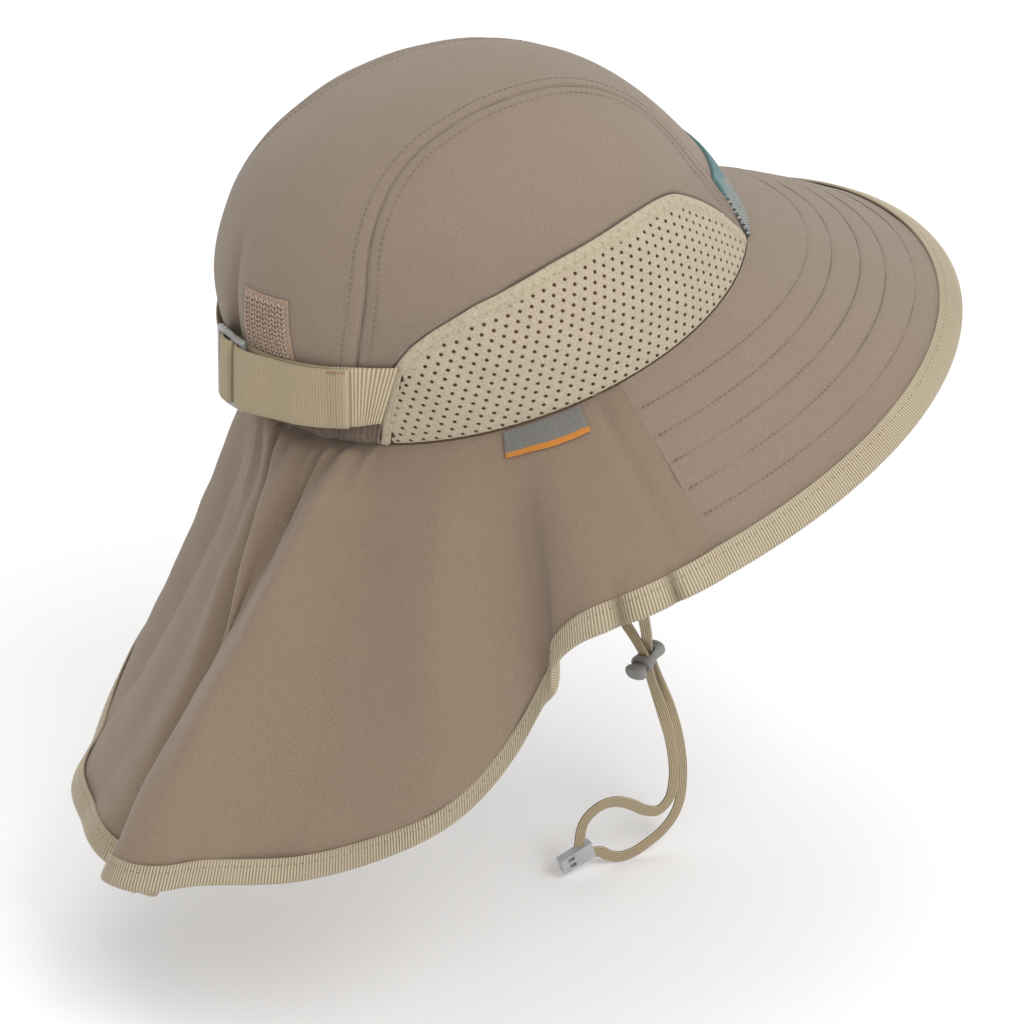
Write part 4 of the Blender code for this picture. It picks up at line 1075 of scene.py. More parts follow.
def foldLift(angle, way):
    lift = np.zeros(np.broadcast(angle, way).shape)
    for top, hem, height, half, start, full in foldTable:
        middle = top + (hem - top) * way
        grown = ease(0, start, way)
        if full < 1:
            grown = grown * (1 - 0.5 * ease(full, 1, way))
        lift = lift + skirt["foldHeight"] * height * grown * np.exp(-(np.abs(angle - middle) / half) ** 1.6)
    # the main ridge is wide towards the front and steep behind, with a deep valley and a lower ridge after it
    past = angle - readTable(ridgeTable, way, 1)
    wide = np.where(past < 0, 7.5, 3.2)
    lift = lift + 9.6 * mm * ease(0, 0.16, way) * (1 - 0.4 * ease(0.6, 1, way)) * np.exp(-(np.abs(past) / wide) ** 1.6)
    lift = lift - 8 * mm * ease(0.02, 0.2, way) * (1 - 0.7 * ease(0.5, 0.9, way)) * np.exp(-((past - 7.5) / 4.6) ** 2)
    second = (angle - readTable(ridgeTable, way, 2)) / 4.5
    lift = lift + 4 * mm * ease(0, 0.06, way) * ease(0.62, 0.35, way) * np.exp(-second ** 2)
    for place, height, half in hemWaves:
        lift = lift + height * mm * ease(0.70, 1.0, way) * np.exp(-((angle - place) / half) ** 2)
    return lift


def flapEnds(angle):
    return ease(90, 98, angle) * ease(270, 262, angle)


gathers = (   # angle, height in mm, half width and how far down each gather under the elastic runs
    (146.5, 2.2, 1.8, .10), (151.5, 4.2, 2.0, .14), (156.3, 4.5, 1.6, .20), (160.6, 2.4, 1.5, .10),
    (165.4, 4.0, 2.1, .20), (170.8, 3.4, 1.8, .12), (176, 4.4, 2.2, .24), (181.6, 3.2, 1.9, .12),
    (187.2, 4.2, 2.2, .22), (193.1, 3.4, 2.0, .14), (198.9, 4.2, 2.2, .22), (204.9, 3.2, 1.9, .13),
    (210.5, 3.6, 2.2, .18), (215.5, 2.0, 1.8, .10))


def gatherLift(angle, way):
    lift = np.zeros(np.broadcast(angle, way).shape)
    for place, tall, half, run in gathers:
        grown = 1.35 * np.exp(-(way / run) ** 1.5) * ease(-0.008, 0.035, way)
        drift = 24 * max(0, min(1, (190 - place) / 30))
        spread = half * (1 + 3.0 * way)
        lift = lift + tall * mm * grown * np.exp(-(np.abs(angle - place - drift * way) / spread) ** 1.5)
    return (lift - 1.0 * mm * np.exp(-(way / 0.12) ** 2)) * ease(143, 150, angle) * ease(217, 210, angle)


def skirtMiddle(angle, way):
    base = skirtBase(angle, way)
    lift = foldLift(angle, way) * flapEnds(angle)
    onFlap = (np.asarray(angle) > 90) & (np.asarray(angle) < 270)
    return base + normalOf(skirtBase, angle, way) * np.where(onFlap, lift, 0)[..., None]


def edgeLength(angle):
    return np.linalg.norm(skirtMiddle(angle, 1.0) - skirtMiddle(angle, 0.9), axis=-1) * 10


def bindingTop(angle):
    return 1 - skirt["bindingWidth"] / edgeLength(angle)


def brimRow(number, angle):
    # the stitched rows fan out from the ears to the front
    share = np.cos(np.radians(angle)) ** 2
    return skirt["rowsAtSide"][number] * (1 - share) + skirt["rowsAtFront"][number] * share


def makeBrim():
    def spot(u, v):
        angle = -90 + 180 * u
        long = edgeLength(angle)
        return angle, v * (1 - skirt["short"] / long), long

    def surface(u, v):
        angle, way, long = spot(u, v)
        # each stitched row pulls the layers together a little
        relief = np.zeros_like(way)
        for number in range(5):
            distance = (way - brimRow(number, angle)) * long
            relief -= 0.20 * mm * np.exp(-(distance / (0.8 * mm)) ** 2)
            relief -= 0.10 * mm * np.exp(-(distance / (3.0 * mm)) ** 2)
        relief -= 0.62 * mm * ease(86.5, 90, np.abs(angle))   # flush with the thinner flap at the ear seams
        relief += 0.10 * mm * ruffle(angle * 2.6 * mm, way * long * 0.35, 61, 9 * mm)
        relief += 0.35 * mm * ruffle(angle * 2.6 * mm, way * long, 62, 60 * mm) * ease(0, 0.4, way)
        return skirtMiddle(angle, way) + normalOf(skirtMiddle, angle, way) * relief[..., None]

    # painted shade along the stitched rows
    def dark(u, v):
        angle, way, long = spot(u, v)
        shade = np.zeros_like(way)
        for number in range(5):
            shade += 0.13 * np.exp(-((way - brimRow(number, angle)) * long / (0.8 * mm)) ** 2)
        return shade

    piece = clothGrid("brimCloth", 230, 96, surface, lambda u, v: (u * 0.40, v * 0.09), (0, 0, 0.3), dark)
    turnUp(piece)
    sewn(piece, skirt["brimWall"], taupe, ["brim"], offset=0)
    frames = []
    angle = np.linspace(-89, 89, 500)
    for number in range(5):
        way = brimRow(number, angle)
        facing = normalOf(skirtMiddle, angle, way)
        track = skirtMiddle(angle, way) + facing * (skirt["brimWall"] / 2 - 0.24 * mm)
        frames += sewRow(track, facing, pitch=2.2 * mm)
    copies("brimStitches", stitchPoints * 0.9, stitchFaces, frames, brownThread)


def makeFlap():
    def spot(u, v):
        angle = 90 + 180 * u
        long = edgeLength(angle)
        return angle, v ** 1.15 * (1 - skirt["short"] / long), long

    def surface(u, v):
        angle, way, long = spot(u, v)
        around, down = angle * 2.4 * mm, way * long
        lift = gatherLift(angle, way)
        lift = lift + 0.9 * mm * ruffle(around, down, 71, 75 * mm) * ease(0.05, 0.35, way) * flapEnds(angle)
        lift = lift + 0.35 * mm * ruffle(around, down, 72, 22 * mm) * ease(0.02, 0.2, way)
        # the edge tape draws the cloth up into small puckers
        edge = (1 - way) * long
        lift = lift + 0.45 * mm * ruffle(angle * 2.9 * mm, edge * 0.2, 73, 13 * mm) * np.exp(-(edge / (22 * mm)) ** 2)
        return skirtMiddle(angle, way) + normalOf(skirtMiddle, angle, way) * lift[..., None]

    def shade(u, v):
        angle, way, long = spot(u, v)
        return 0.25 * np.exp(-(way * long / (1.2 * mm)) ** 2)

    piece = clothGrid("neckFlapCloth", 520, 120, surface, lambda u, v: (u * 0.46, v * 0.18), (0, 0, 0.3), shade)
    turnUp(piece)
    skirt["flapArea"] = sum(face.area for face in piece.data.polygons)
    return sewn(piece, skirt["flapWall"], flapTaupe, ["neck_flap"], offset=0, angle=70)


def tapeDepth(angle):
    # the tape lies 1.1 mm outside the stiff brim, and comes down onto the thinner flap behind the ears
    brimShare = np.maximum(ease(96, 90, angle), ease(264, 270, angle))
    wall = skirt["flapWall"] + (skirt["brimWall"] - skirt["flapWall"]) * brimShare
    return wall / 2 + 1.1 * mm


def makeBinding(name, first, last, node):
    # ribbed tape folded over the edge; two columns of points make each rib
    angle = np.linspace(first, last, 2400)
    edge = skirtMiddle(angle, 1.0)
    run = np.concatenate([[0], np.cumsum(np.linalg.norm(np.diff(edge, axis=0), axis=1))])
    columns = int(run[-1] / (0.60 * mm))

    def strip(u, v):
        at = np.interp(u * run[-1], run, angle)
        start = bindingTop(at)
        end = np.ones_like(at)
        edgePlace, topPlace = skirtMiddle(at, end), skirtMiddle(at, start)
        edgeFacing = normalOf(skirtMiddle, at, end)
        down = unit(edgePlace - topPlace)
        rib = np.where(np.round(u * columns).astype(int) % 2 == 0, 1.0, -1.0)
        wall = tapeDepth(at) + rib * 0.16 * mm
        side = np.where(v < 0.5, 1.0, -1.0)
        flat = np.clip(np.where(v < 0.5, v, 1 - v) / 0.38, 0, 1)
        way = start + (end - start) * flat
        straight = skirtMiddle(at, way) + normalOf(skirtMiddle, at, way) * (side * wall)[..., None]
        turn = np.clip((v - 0.38) / 0.24, 0, 1) * pi
        round_ = (edgePlace + edgeFacing * (np.cos(turn) * wall)[..., None]
                  + down * (np.sin(turn) * (wall + 0.4 * mm))[..., None])
        return np.where(((v > 0.38) & (v < 0.62))[..., None], round_, straight)

    def ribShading(u, v):
        at = np.interp(u * run[-1], run, angle)
        # painted light and shade: ridge columns light, valley columns dark, and the valleys of the edge waves darker
        # still
        shade = np.ones_like(at)
        for place, height, half in hemWaves:
            if height < 0:
                shade = shade - 0.75 * np.exp(-((at - place) / half) ** 2)
        return np.where(np.round(u * columns).astype(int) % 2 == 0, 1.0, 0.05) * shade

    piece = clothGrid(name, columns, 16, strip, lambda u, v: (u * run[-1], v * 0.024), (0, 0, 0.3), ribShading)
    normalsFromSection(piece, strip)
    sewn(piece, 0.75 * mm, sandTape, [node], angle=80)
    u = np.linspace(0.002, 0.998, 1200)
    v = np.full_like(u, 0.12)
    at = np.interp(u * run[-1], run, angle)
    way = bindingTop(at) + (1 - bindingTop(at)) * 0.12 / 0.38
    facing = normalOf(skirtMiddle, at, way)
    depth = (tapeDepth(at) + 0.10 * mm)[:, None]
    frames = sewRow(skirtMiddle(at, way) + facing * depth, facing, pitch=2.8 * mm)
    frames += sewRow(skirtMiddle(at, way) - facing * depth, -facing, pitch=2.8 * mm)
    copies(name + "Stitches", stitchPoints * 0.8, stitchFaces, frames, tapeThread)
    return piece


def normalsFromSection(piece, strip):
    # the tape's outside is the side away from the cloth that it holds
    normals, centres = faceRows(piece)
    u, v = np.array([0.5]), np.array([0.1])
    here, there = strip(u, v)[0], strip(u, 1 - v)[0]
    near = np.argmin(np.linalg.norm(centres - here, axis=1))
    if (normals[near] * (here - there)).sum() < 0:
        edited(piece, (bpy.ops.mesh.flip_normals, {}))


makeBrim()
flapCloth = makeFlap()
makeBinding("brimBinding", -90, 90, "brim_binding")
flapTape = makeBinding("flapBinding", 90, 270, "flap_binding")
print("brim and neck flap made")


# side label, bare

label = {"middle": 108.4, "halfWidth": 14.8 * mm, "top": 0.6 * mm, "height": 8 * mm, "wall": 0.8 * mm, "lift": 2 * mm}


def makeLabel():
    turn = degrees(label["halfWidth"] / hat["halfLength"])

    def tag(u, v):
        angle = label["middle"] - turn + 2 * turn * u
        way = (label["top"] + label["height"] * v) / edgeLength(angle)
        edge = np.maximum(np.abs(2 * u - 1) ** 12, np.abs(2 * v - 1) ** 8)
        lift = label["lift"] - 0.45 * mm * edge + gatherLift(angle, way)
        return skirtMiddle(angle, way) + normalOf(skirtMiddle, angle, way) * lift[..., None]

    piece = clothGrid("sideLabel", 60, 24, tag, lambda u, v: (u * 0.0275, v * 0.009), (0, 0, 0.3))
    turnUp(piece)
    sewn(piece, label["wall"], greyLabel, ["side_label"])
    frames = []
    for u in (0.04, 0.96):
        v = np.linspace(0.08, 0.92, 30)
        where = np.full_like(v, u)
        frames += sewRow(tag(where, v), facingOf(tag, where, v), pitch=1.5 * mm, lift=0.05 * mm)
    copies("labelStitches", stitchPoints * 0.7, stitchFaces, frames, greyThread)


makeLabel()
print("label made")


# adjusting strap, slider and patch at the back

strap = {
    "width": 25 * mm, "wall": 1.2 * mm, "level": 23.3 * mm, "lean": (.36, .30), "standOff": (.36, .10),
    "raised": (1.4 * mm, 1.0 * mm), "behind": 10 * mm, "clearance": 0.4 * mm, "reach": 63 * mm,
    "sliderLength": 20 * mm, "sliderHeight": 28.4 * mm, "sliderWall": 2 * mm, "bar": 2.5 * mm,
    "centreBar": 3.6 * mm, "roll": 0.7 * mm,
    # the rounded flat section of the webbing: share of the half width and of the wall at each point
    "level14": (-1, -.97, -.8, -.3, .3, .8, .97, 1, .97, .8, .3, -.3, -.8, -.97),
    "face14": (0, -.75, -1, -1, -1, -1, -.75, 0, .75, 1, 1, 1, 1, .75),
}


def backAngles(along, height):
    angle = np.linspace(180, 270, 1801)
    turn = np.radians(angle)
    reach = (1 - (height / hat["crownHeight"]) ** hat["roundness"]) ** (1 / hat["roundness"])
    speed = np.hypot(np.cos(turn) * hat["halfWidth"], np.sin(turn) * hat["halfLength"]) * reach * radians(0.05)
    run = np.concatenate([[0], np.cumsum(speed[:-1])])
    return 180 + (np.interp(np.abs(along), run, angle) - 180) * np.where(np.asarray(along) > 0, 1, -1)


def strapFrame(along, depth):
    # the webbing hangs more upright than the crown behind it, and its ends lean like the mesh's back edge
    def middle(place, out, above=0.0):
        share = np.clip(np.abs(place) / strap["reach"], 0, 1)
        level = (strap["level"] + strap["raised"][0] + strap["raised"][1] * (1 - share)
                 - strap["behind"] * ease(5 * mm, 28 * mm, place))
        return ringPoint(backAngles(place, strap["level"]), level + above, out)

    up = unit(middle(along, depth, mm) - middle(along, depth, -mm))
    forward = unit(middle(along + 0.5 * mm, depth) - middle(along - 0.5 * mm, depth))
    outward = unit(middle(along, depth + mm) - middle(along, depth))
    share = np.abs(along) / strap["reach"]
    lean = np.sign(along) * (strap["lean"][0] * np.minimum(share, 1) + strap["lean"][1] * ease(0.9, 1.13, share))
    tilt = strap["standOff"][0] + (strap["standOff"][1] - strap["standOff"][0]) * np.minimum(share, 1)
    tilt = tilt * ease(30 * mm, 13 * mm, along)
    up = unit(up + forward * lean[..., None] - outward * tilt[..., None])
    return middle(along, depth) + outward * (tilt * strap["width"] * 0.42)[..., None], up


def smoothPath(rows, step):
    # evenly spaced places on a smooth curve through the given ones
    rows = np.array(rows, float)
    padded = np.concatenate([[2 * rows[0] - rows[1]], rows, [2 * rows[-1] - rows[-2]]])
    dense = []
    for index in range(len(rows) - 1):
        before, one, two, after = padded[index:index + 4]
        way = np.arange(16)[:, None] / 16
        dense.append(0.5 * (2 * one + (two - before) * way + (2 * before - 5 * one + 4 * two - after) * way ** 2
                            + (3 * one - before - 3 * two + after) * way ** 3))
    dense = np.concatenate(dense + [rows[-1:]])
    run = np.concatenate([[0], np.cumsum(np.linalg.norm(np.diff(dense, axis=0), axis=1))])
    at = np.linspace(0, run[-1], max(int(run[-1] / step), 2) + 1)
    return np.stack([np.interp(at, run, dense[:, axis]) for axis in range(rows.shape[1])], axis=-1), at


def tube(name, sections, metres, marks):
    # a closed skin over equal rings of points, from a grid whose two long edges are merged
    rings, ring = sections.shape[0], sections.shape[1]
    closed = np.concatenate([sections, sections[:, :1]], axis=1)

    def read(table, u, v):
        row = np.clip(np.round(u * (rings - 1)).astype(int), 0, rings - 1)
        column = np.clip(np.round(v * ring).astype(int), 0, ring)
        return table[row, column]

    closedMarks = np.concatenate([marks, marks[:, :1]], axis=1)
    piece = clothGrid(name, rings - 1, ring, lambda u, v: read(closed, u, v),
                      lambda u, v: (u * metres, v * 0.01), (0, 0, 0), lambda u, v: read(closedMarks, u, v))
    pick(piece)
    bpy.ops.object.mode_set(mode="EDIT")
    bpy.ops.mesh.select_all(action="SELECT")
    bpy.ops.mesh.remove_doubles(threshold=0.002 * mm)
    bpy.ops.mesh.select_all(action="DESELECT")
    bpy.ops.mesh.select_non_manifold(extend=False, use_wire=False, use_multi_face=False,
                                     use_non_contiguous=False, use_verts=False)
    bpy.ops.mesh.edge_face_add()
    bpy.ops.mesh.select_all(action="SELECT")
    bpy.ops.mesh.normals_make_consistent(inside=False)
    bpy.ops.object.mode_set(mode="OBJECT")
    return piece


def webbingSkin(name, centre, up, half, relief, metres, tone):
    # a flat tube along the centre line, its wall given at each place by relief
    across = unit(np.cross(unit(np.gradient(centre, axis=0)), up))
    level, face = np.array(strap["level14"]), np.array(strap["face14"])
    sections = (centre[:, None] + up[:, None] * (level * half)[None, :, None]
                + across[:, None] * (face[None, :] * relief[:, None])[..., None])
    return tube(name, sections, metres, np.repeat(tone[:, None], len(level), axis=1))


def ribbon(name, path, node, folded=False):
    places, run = smoothPath(path, 0.28 * mm)
    centre, up = strapFrame(places[:, 0], places[:, 1])
    rib = np.where(np.arange(len(run)) % 4 < 2, 1.0, -1.0)
    relief = strap["wall"] / 2 + 0.3 * rib * 0.16 * mm
    # painted light and shade: rib ridges light, rib valleys dark
    tone = np.where(rib > 0, 0.72, 0.42)
    if folded:
        relief = relief + 0.35 * mm * ease(run[-1] - 5 * mm, run[-1] - 4.2 * mm, run)
        # painted highlight along the folded end
        tone = np.maximum(tone, ease(run[-1] - 2.2 * mm, run[-1] - 0.8 * mm, run))
    relief = relief * np.sqrt(np.clip((run[-1] - run) / (0.8 * mm), 0.05, 1))
    relief = relief * np.sqrt(np.clip(run / (0.6 * mm) + 0.1, 0, 1))
    piece = webbingSkin(name, centre, up, strap["width"] / 2, relief, run[-1], tone)
    smoothed(piece, 70)
    dressed(piece, webbing, [node])


def makeStrap():
    low = strap["clearance"] + strap["wall"] / 2
    foot = strap["clearance"] * 2 + strap["wall"]
    top = foot + strap["sliderWall"]
    high = top + strap["clearance"] + strap["wall"] / 2
    edge = strap["sliderLength"] / 2
    slot = edge - strap["bar"]
    resting = low + strap["wall"] + 0.3 * mm
    middle = (foot + top) / 2
    turn = strap["wall"] / 2 + strap["roll"]
    path = [(-along * mm, low) for along in (63, 54, 44, 34, 24)]
    path += [(-edge - 3 * mm, low), (-slot - 0.6 * mm, low)]
    path += [(-slot + turn * 0.55, low + 0.25 * mm), (-slot + turn, low + 1.2 * mm), (-slot + turn, middle),
             (-slot + turn, high - 1.2 * mm), (-slot + turn * 0.55, high - 0.25 * mm)]
    path += [(-slot - 0.6 * mm, high), (-edge - 3 * mm, high - 0.2 * mm)]
    path += [(-24 * mm, resting + 0.5 * mm), (-34 * mm, resting + 0.6 * mm), (-44 * mm, resting + 0.4 * mm),
             (-50 * mm, resting + 0.15 * mm), (-56 * mm, resting + 0.15 * mm)]
    ribbon("rearStrapRight", path, "rear_strap_right", folded=True)
    bar = strap["centreBar"] / 2
    rise = bar + turn + 0.8 * mm
    path = [(along * mm, low) for along in (63, 54, 44, 34, 24)]
    path += [(edge + 3 * mm, low), (slot, low), (rise + 0.6 * mm, low + 0.3 * mm), (rise, low + 1.2 * mm),
             (rise, middle), (rise - 0.3 * mm, high - 1.1 * mm), (rise - 1.0 * mm, high - 0.2 * mm), (0, high)]
    path += [(-bar - turn * 0.3, high - 0.2 * mm), (-bar - turn, high - 1.3 * mm), (-bar - turn, middle),
             (-bar - turn, low + 1.1 * mm), (-bar - turn * 0.4, low + 0.1 * mm), (bar - 0.3 * mm, low)]
    ribbon("rearStrapLeft", path, "rear_strap_left")

    # the strongly ribbed stretch that shows past the folded end
    for side, word in ((-1, "Right"), (1, "Left")):
        places = np.linspace(50, 71, 64)
        rib = np.where(np.arange(64) % 4 < 2, 1.0, -1.0)
        centre, up = strapFrame(side * places * mm, low)
        relief = 0.68 * mm + rib * 0.17 * mm
        # its ribs get painted light and shade from the mark
        piece = webbingSkin("strapEnd" + word, centre, up, strap["width"] / 2 + 0.1 * mm, relief, 0.021, (rib + 1) / 2)
        smoothed(piece, 70)
        dressed(piece, underWebbing)
    level = np.linspace(-0.46, 0.46, 60) * strap["width"]
    centre, up = strapFrame(np.full(60, -49.0 * mm), np.full(60, resting + 1.0 * mm))
    frames = sewRow(centre + up * level[:, None], unit(centre - np.array((0, 0.01, 0.02))), pitch=1.7 * mm)
    copies("strapStitches", stitchPoints * 0.8, stitchFaces, frames, paleThread)
    places = np.linspace(-55.4, -48, 20) * mm
    centre, up = strapFrame(places, np.full(20, resting + 0.95 * mm))
    frames = sewRow(centre + up * strap["width"] * 0.465, up + 0.0, pitch=1.2 * mm)
    frames += sewRow(centre + up * strap["width"] * 0.44, up + 0.0, pitch=1.7 * mm)
    copies("strapThreads", stitchPoints * 0.7, stitchFaces, frames, rustThread)
    makeSlider(middle)


def makeSlider(middle):
    # a flat frame with two slots, its bars rounded
    nothingSelected()
    bpy.ops.mesh.primitive_grid_add(x_subdivisions=5, y_subdivisions=3, size=1)
    piece = bpy.context.object
    piece.name = piece.data.name = "strapSlider"
    long, tall = strap["sliderLength"] / 2, strap["sliderHeight"] / 2
    columns = np.array((-long, -long + strap["bar"], -strap["centreBar"] / 2, strap["centreBar"] / 2,
                        long - strap["bar"], long))
    rows = np.array((-tall, -tall + 2 * mm, tall - 2 * mm, tall))
    for spot in piece.data.vertices:
        spot.co = (columns[int(round((spot.co.x + 0.5) * 5))], rows[int(round((spot.co.y + 0.5) * 3))], 0)
    pick(piece)
    bpy.ops.object.mode_set(mode="EDIT")
    bpy.ops.mesh.select_all(action="DESELECT")
    bpy.ops.object.mode_set(mode="OBJECT")
    for face in piece.data.polygons:
        centre = face.center
        face.select = abs(centre.y) < tall / 2 and strap["centreBar"] / 2 < abs(centre.x) < long - strap["bar"]
    bpy.ops.object.mode_set(mode="EDIT")
    bpy.ops.mesh.delete(type="FACE")
    bpy.ops.mesh.select_all(action="SELECT")
    bpy.ops.mesh.subdivide(number_cuts=3)
    bpy.ops.object.mode_set(mode="OBJECT")
    applyStep(piece, "SOLIDIFY", thickness=strap["sliderWall"], offset=0)
    applyStep(piece, "BEVEL", width=0.5 * mm, segments=3, limit_method="ANGLE", angle_limit=radians(50))
    spots = np.array([spot.co[:] for spot in piece.data.vertices])
    centre, up = strapFrame(spots[:, 0], middle + spots[:, 2])
    piece.data.vertices.foreach_set("co", (centre + up * spots[:, 1:2]).ravel())
    piece.data.update()
    turnOut(piece, hollow)
    smoothed(piece, 60)
    dressed(piece, clearGrey, ["strap_slider"])


patch = {"along": -20 * mm, "height": 47.6 * mm, "width": 24.5 * mm, "tall": 22.4 * mm, "wall": 0.8 * mm,
         "columns": 14, "rows": 12}


def makePatch():
    def pad(u, v):
        along = patch["along"] + (u - 0.5) * patch["width"]
        height = patch["height"] + (v - 0.5) * patch["tall"]
        edge = np.maximum(np.abs(2 * u - 1) ** 14, np.abs(2 * v - 1) ** 14)
        return ringPoint(backAngles(along, 48 * mm), height, 1.0 * mm - 0.35 * mm * edge)

    piece = clothGrid("crownPatch", 70, 70, pad, lambda u, v: (u * 0.025, v * 0.025), hollow)
    sewn(piece, patch["wall"], pileGround, ["crown_patch"])
    # knitted loops: slanted strands in pairs, seven columns wide
    frames = []
    roller = np.random.RandomState(5)
    for column in range(patch["columns"]):
        for row in range(patch["rows"]):
            u = np.array([(column + 0.5 + roller.uniform(-.06, .06)) / patch["columns"] * 0.90 + 0.05])
            v = np.array([(row + 0.5 + roller.uniform(-.08, .08)) / patch["rows"] * 0.88 + 0.06])
            lean = 1 if column % 2 else -1
            here, there = pad(u, v)[0], pad(u + 0.030 * lean, v + 0.040)[0]
            up = facingOf(pad, u, v)[0]
            ahead = unit(there - here)
            across = unit(np.cross(up, ahead))
            frames.append((here + up * 0.30 * mm, ahead, across, np.cross(ahead, across)))
    copies("patchLoops", stitchPoints * np.array((1.30, 2.1, 2.0)), stitchFaces, frames, pileThread)
    frames = []
    way = np.linspace(0.02, 0.98, 60)
    for u, v in ((way, np.full_like(way, 0.975)), (np.full_like(way, 0.03), way)):
        frames += sewRow(pad(u, v), facingOf(pad, u, v), pitch=1.9 * mm, lift=0.06 * mm)
    copies("patchEdgeStitches", stitchPoints * 0.7, stitchFaces, frames, rustThread)


makeStrap()
makePatch()
print("strap and patch made")


# chin cord: flat braid, 5 mm wide

cordSize = {"width": 5.0 * mm, "wall": 1.5 * mm, "ribs": 6}
leftRoute = (
    (71.0, -4.5, -33.0), (53.0, -20.0, -68.0), (35.5, -36.5, -104.0), (18.5, -52.5, -140.0), (7.5, -62.6, -163.5),
    (2.2, -66.9, -173.6), (-0.64, -69.6, -181.1), (-0.6, -72.7, -192.0), (-0.2, -78.3, -208.4), (0, -82.4, -222.6),
    (0, -84.7, -235.6), (0, -84.8, -244.5), (0, -83.0, -252.8), (0, -77.6, -257.2), (0, -70.8, -255.0),
    (0, -63.8, -250.0), (0, -56.6, -246.5), (0, -49.8, -246.2), (0, -43.6, -249.2), (0, -40.2, -254.2))
rightRoute = (
    (71.0, -4.5, -33.0), (52.8, -21.0, -68.0), (35.2, -38.2, -104.0), (17.8, -55.2, -140.0), (6.5, -65.6, -163.5),
    (1.2, -69.6, -173.0), (-0.64, -72.0, -180.1), (-0.6, -75.8, -191.0), (-0.2, -81.8, -207.4), (0, -86.1, -221.8),
    (0, -88.6, -235.8), (0, -89.0, -246.5), (0, -88.0, -255.8), (0, -84.8, -262.8), (0, -79.6, -268.0),
    (0, -73.0, -271.6), (0, -66.0, -274.2), (0, -59.2, -274.4), (0, -53.4, -272.0), (0, -49.4, -268.9))
lock = {"centre": np.array((0, -70.8, -180.6)) * mm, "halfWidth": 5 * mm, "halfDepth": 3.6 * mm,
        "slot": (3.2 * mm, 2.8 * mm), "bore": (0.72, 0.68), "stem": (0.66, 0.60)}
lockAlong = unit(np.array((0, -0.35, -0.937)))
lockAxis = unit(np.array((0.44, -0.84, 0.314)))
clipAxis = unit(np.array((0, 0.956, -0.293)))
clipMouth = np.array((0, -45.0, -265.4)) * mm
clipAcross = unit(np.array((0, clipAxis[2], -clipAxis[1])))


def cordStart(side):
    # inside the crown's foot, just behind the ear
    turn = radians(95 * side)
    inset = 3.1 * mm
    rows = []
    for height in (9 * mm, 0.0, -5 * mm):
        level = np.array((-sin(turn) * hat["halfWidth"], -cos(turn) * hat["halfLength"], height))
        rows.append(tilted(level - outwards(np.array(95.0 * side)) * inset))
    return rows


def makeCord(word, side, route, end):
    rows = cordStart(side) + [np.array((-side * x, y, z)) * mm for x, y, z in route] + [end]
    track, run = smoothPath(rows, 0.7 * mm)
    # the far half passes in front of the near one just above the lock
    above = run[np.argmin(np.linalg.norm(track - np.array((0, -69.0, -172.0)) * mm, axis=1))]
    aside = np.exp(-((run - above) / (12 * mm)) ** 2) * (-1.3 * mm if side > 0 else 1.3 * mm)
    track = track + np.array(view["back"]) * aside[:, None]
    forward = unit(np.gradient(track, axis=0))
    # which way the braid's width lies: along the crown at the ear, across the lock, then in the loop's plane
    wide = unit(np.cross(lockAxis, lockAlong))
    ear = np.array((0.15 * side, 0.95, 0.25))
    lockRun = run[np.argmin(np.linalg.norm(track - lock["centre"], axis=1))]
    loop = unit(np.cross(forward, np.array((1.0, 0, 0))))
    before = ease(lockRun, lockRun - 60 * mm, run)[:, None]
    after = ease(lockRun + 4 * mm, lockRun + 46 * mm, run)[:, None]
    sign = 1.0 if (loop[np.argmin(np.abs(run - lockRun - 40 * mm))] * wide).sum() >= 0 else -1.0
    width = ear * before + wide * (1 - before) * (1 - after) + loop * sign * after
    width = unit(width - forward * (width * forward).sum(-1, keepdims=True))
    across = np.cross(forward, width)
    half = np.linspace(-1, 1, 4 * cordSize["ribs"] + 1)
    share = np.concatenate([half, half[-2:0:-1]])
    face = np.concatenate([np.ones(len(half)), -np.ones(len(half) - 2)])
    rise = face * (1 - np.abs(share) ** 5) ** 0.5
    rib = np.abs(np.sin((share + 1) / 2 * pi * cordSize["ribs"]))
    relief = rise[None, :] * (cordSize["wall"] / 2 - 0.16 * mm + 0.24 * mm * rib[None, :]
                              + 0.06 * mm * np.sin(run[:, None] * 2 * pi / (1.4 * mm) + share[None, :] * 9))
    sections = (track[:, None] + width[:, None] * (share * cordSize["width"] / 2)[None, :, None]
                + across[:, None] * relief[..., None])
    piece = tube("chinCord" + word, sections, run[-1], np.repeat(rib[None, :], len(run), axis=0))
    smoothed(piece, 80)
    dressed(piece, beigeBraid, ["chin_cord_" + word.lower()])
    return piece, track, run[-1]


gap = 0.4 * mm
leftEnd = clipMouth + clipAxis * 5 * mm - clipAcross * (4 * mm + gap) * (1 if clipAcross[2] < 0 else -1)
rightEnd = clipMouth + clipAxis * 3.0 * mm + clipAcross * 1.2 * mm * (1 if clipAcross[2] < 0 else -1)
leftCord, leftTrack, leftLength = makeCord("Left", -1, leftRoute, leftEnd)
rightCord, rightTrack, rightLength = makeCord("Right", 1, rightRoute, rightEnd)
print("cords made", round(leftLength, 4), round(rightLength, 4))

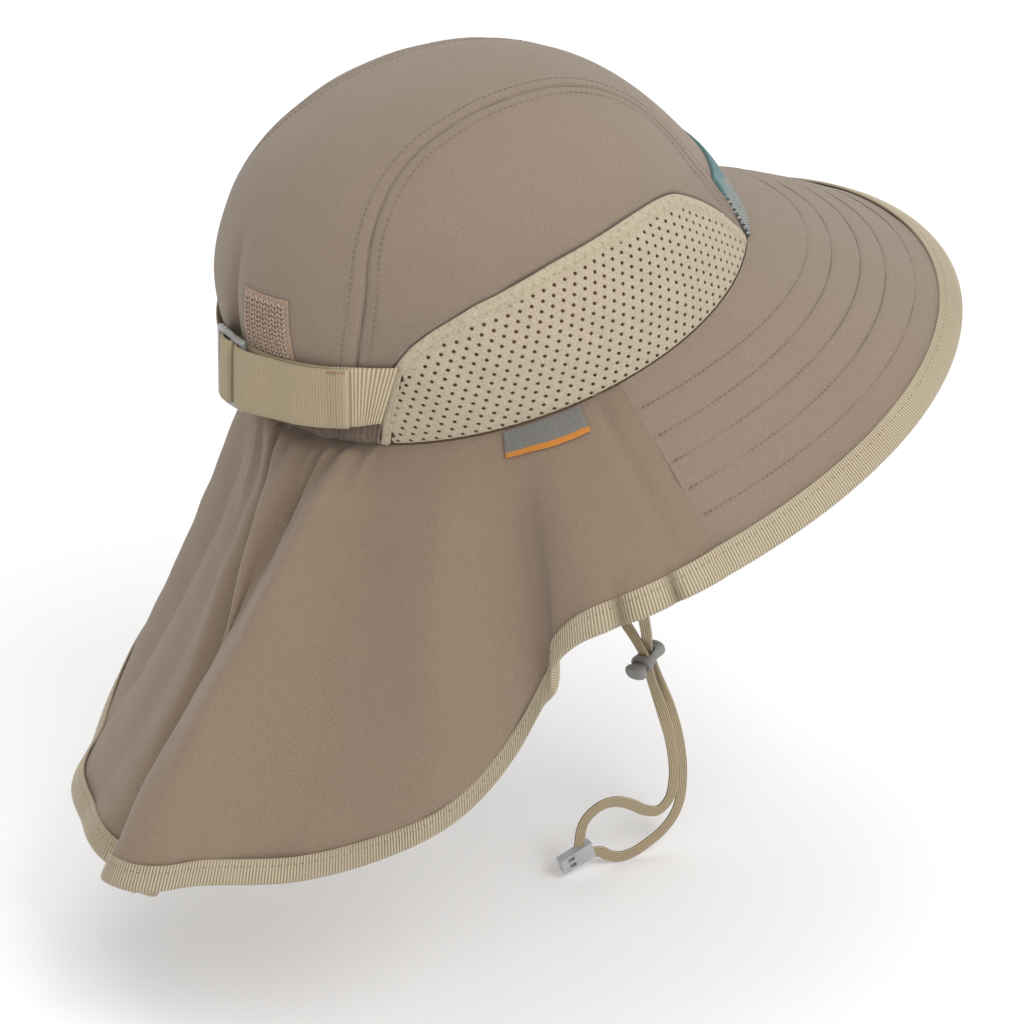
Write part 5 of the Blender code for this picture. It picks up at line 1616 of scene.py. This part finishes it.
barrelRows = (   # place along the lock, share of its full section
    (-6.0, .80), (-5.85, .90), (-5.4, .97), (-4.6, 1.0), (-3.4, .97), (-2.2, .88), (-1, .82), (0.6, .80), (2.0, .83),
    (3.2, .90), (4.4, .98), (5.4, 1.0), (6.3, .96), (7.0, .84), (7.4, .66), (7.55, .40))
buttonRows = (
    (-11.9, .30), (-11.75, .55), (-11.3, .78), (-10.6, .93), (-9.7, 1.0), (-8.8, .98), (-8.35, .90), (-8.2, .80))
boreRows = ((-6.6, 1), (-2.6, 1))
stemRows = ((-8.6, 1), (-5.3, 1))


def ovalBar(name, rows, size=(1, 1)):
    # a bar along the lock with a rounded oblong section, size a share of the lock's own
    wide = unit(np.cross(lockAxis, lockAlong))
    turn = 2 * pi * np.arange(40) / 40
    squash = (np.abs(np.cos(turn)) ** 2.4 + np.abs(np.sin(turn)) ** 2.4) ** (-1 / 2.4)
    width, depth = lock["halfWidth"] * size[0], lock["halfDepth"] * size[1]
    ring = wide * (width * squash * np.cos(turn))[:, None] + lockAlong * (depth * squash * np.sin(turn))[:, None]
    sections = np.array([lock["centre"] + lockAxis * place * mm + ring * share for place, share in rows])
    return tube(name, sections, 0.014, np.zeros(sections.shape[:2]))


def makeLock():
    barrel = ovalBar("lockBarrel", barrelRows)
    nothingSelected()
    bpy.ops.mesh.primitive_cube_add(size=1)
    cutter = bpy.context.object
    wide = unit(np.cross(lockAxis, lockAlong))
    corners = np.array([spot.co[:] for spot in cutter.data.vertices]) * 2
    middle = lock["centre"] + corners[:, :1] * lockAxis * lock["slot"][0]
    cutter.data.vertices.foreach_set("co", (middle + corners[:, 1:2] * wide * lock["slot"][1]
                                            + corners[:, 2:] * lockAlong * 9 * mm).ravel())
    edited(cutter, (bpy.ops.mesh.normals_make_consistent, {"inside": False}))
    bore = ovalBar("lockBore", boreRows, lock["bore"])
    for tool in (cutter, bore):
        applyStep(barrel, "BOOLEAN", operation="DIFFERENCE", object=tool)
        bpy.data.objects.remove(tool)
    smoothed(barrel, 40)
    dressed(barrel, lockGrey, ["cord_lock_barrel"])
    cap = ovalBar("lockButton", buttonRows)
    stem = ovalBar("lockButtonStem", stemRows, lock["stem"])
    for piece in (cap, stem):
        smoothed(piece, 40)
        dressed(piece, lockGrey, body="lock_button")
    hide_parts("cord_lock_button")
    return barrel, cap, stem


lockPieces = makeLock()
clip = bpy.data.objects["cord_end_clip"]
clip.data.materials.clear()
clip.data.materials.append(clipGrey)

print("flap cloth", round(skirt["flapArea"], 4), "square metres")
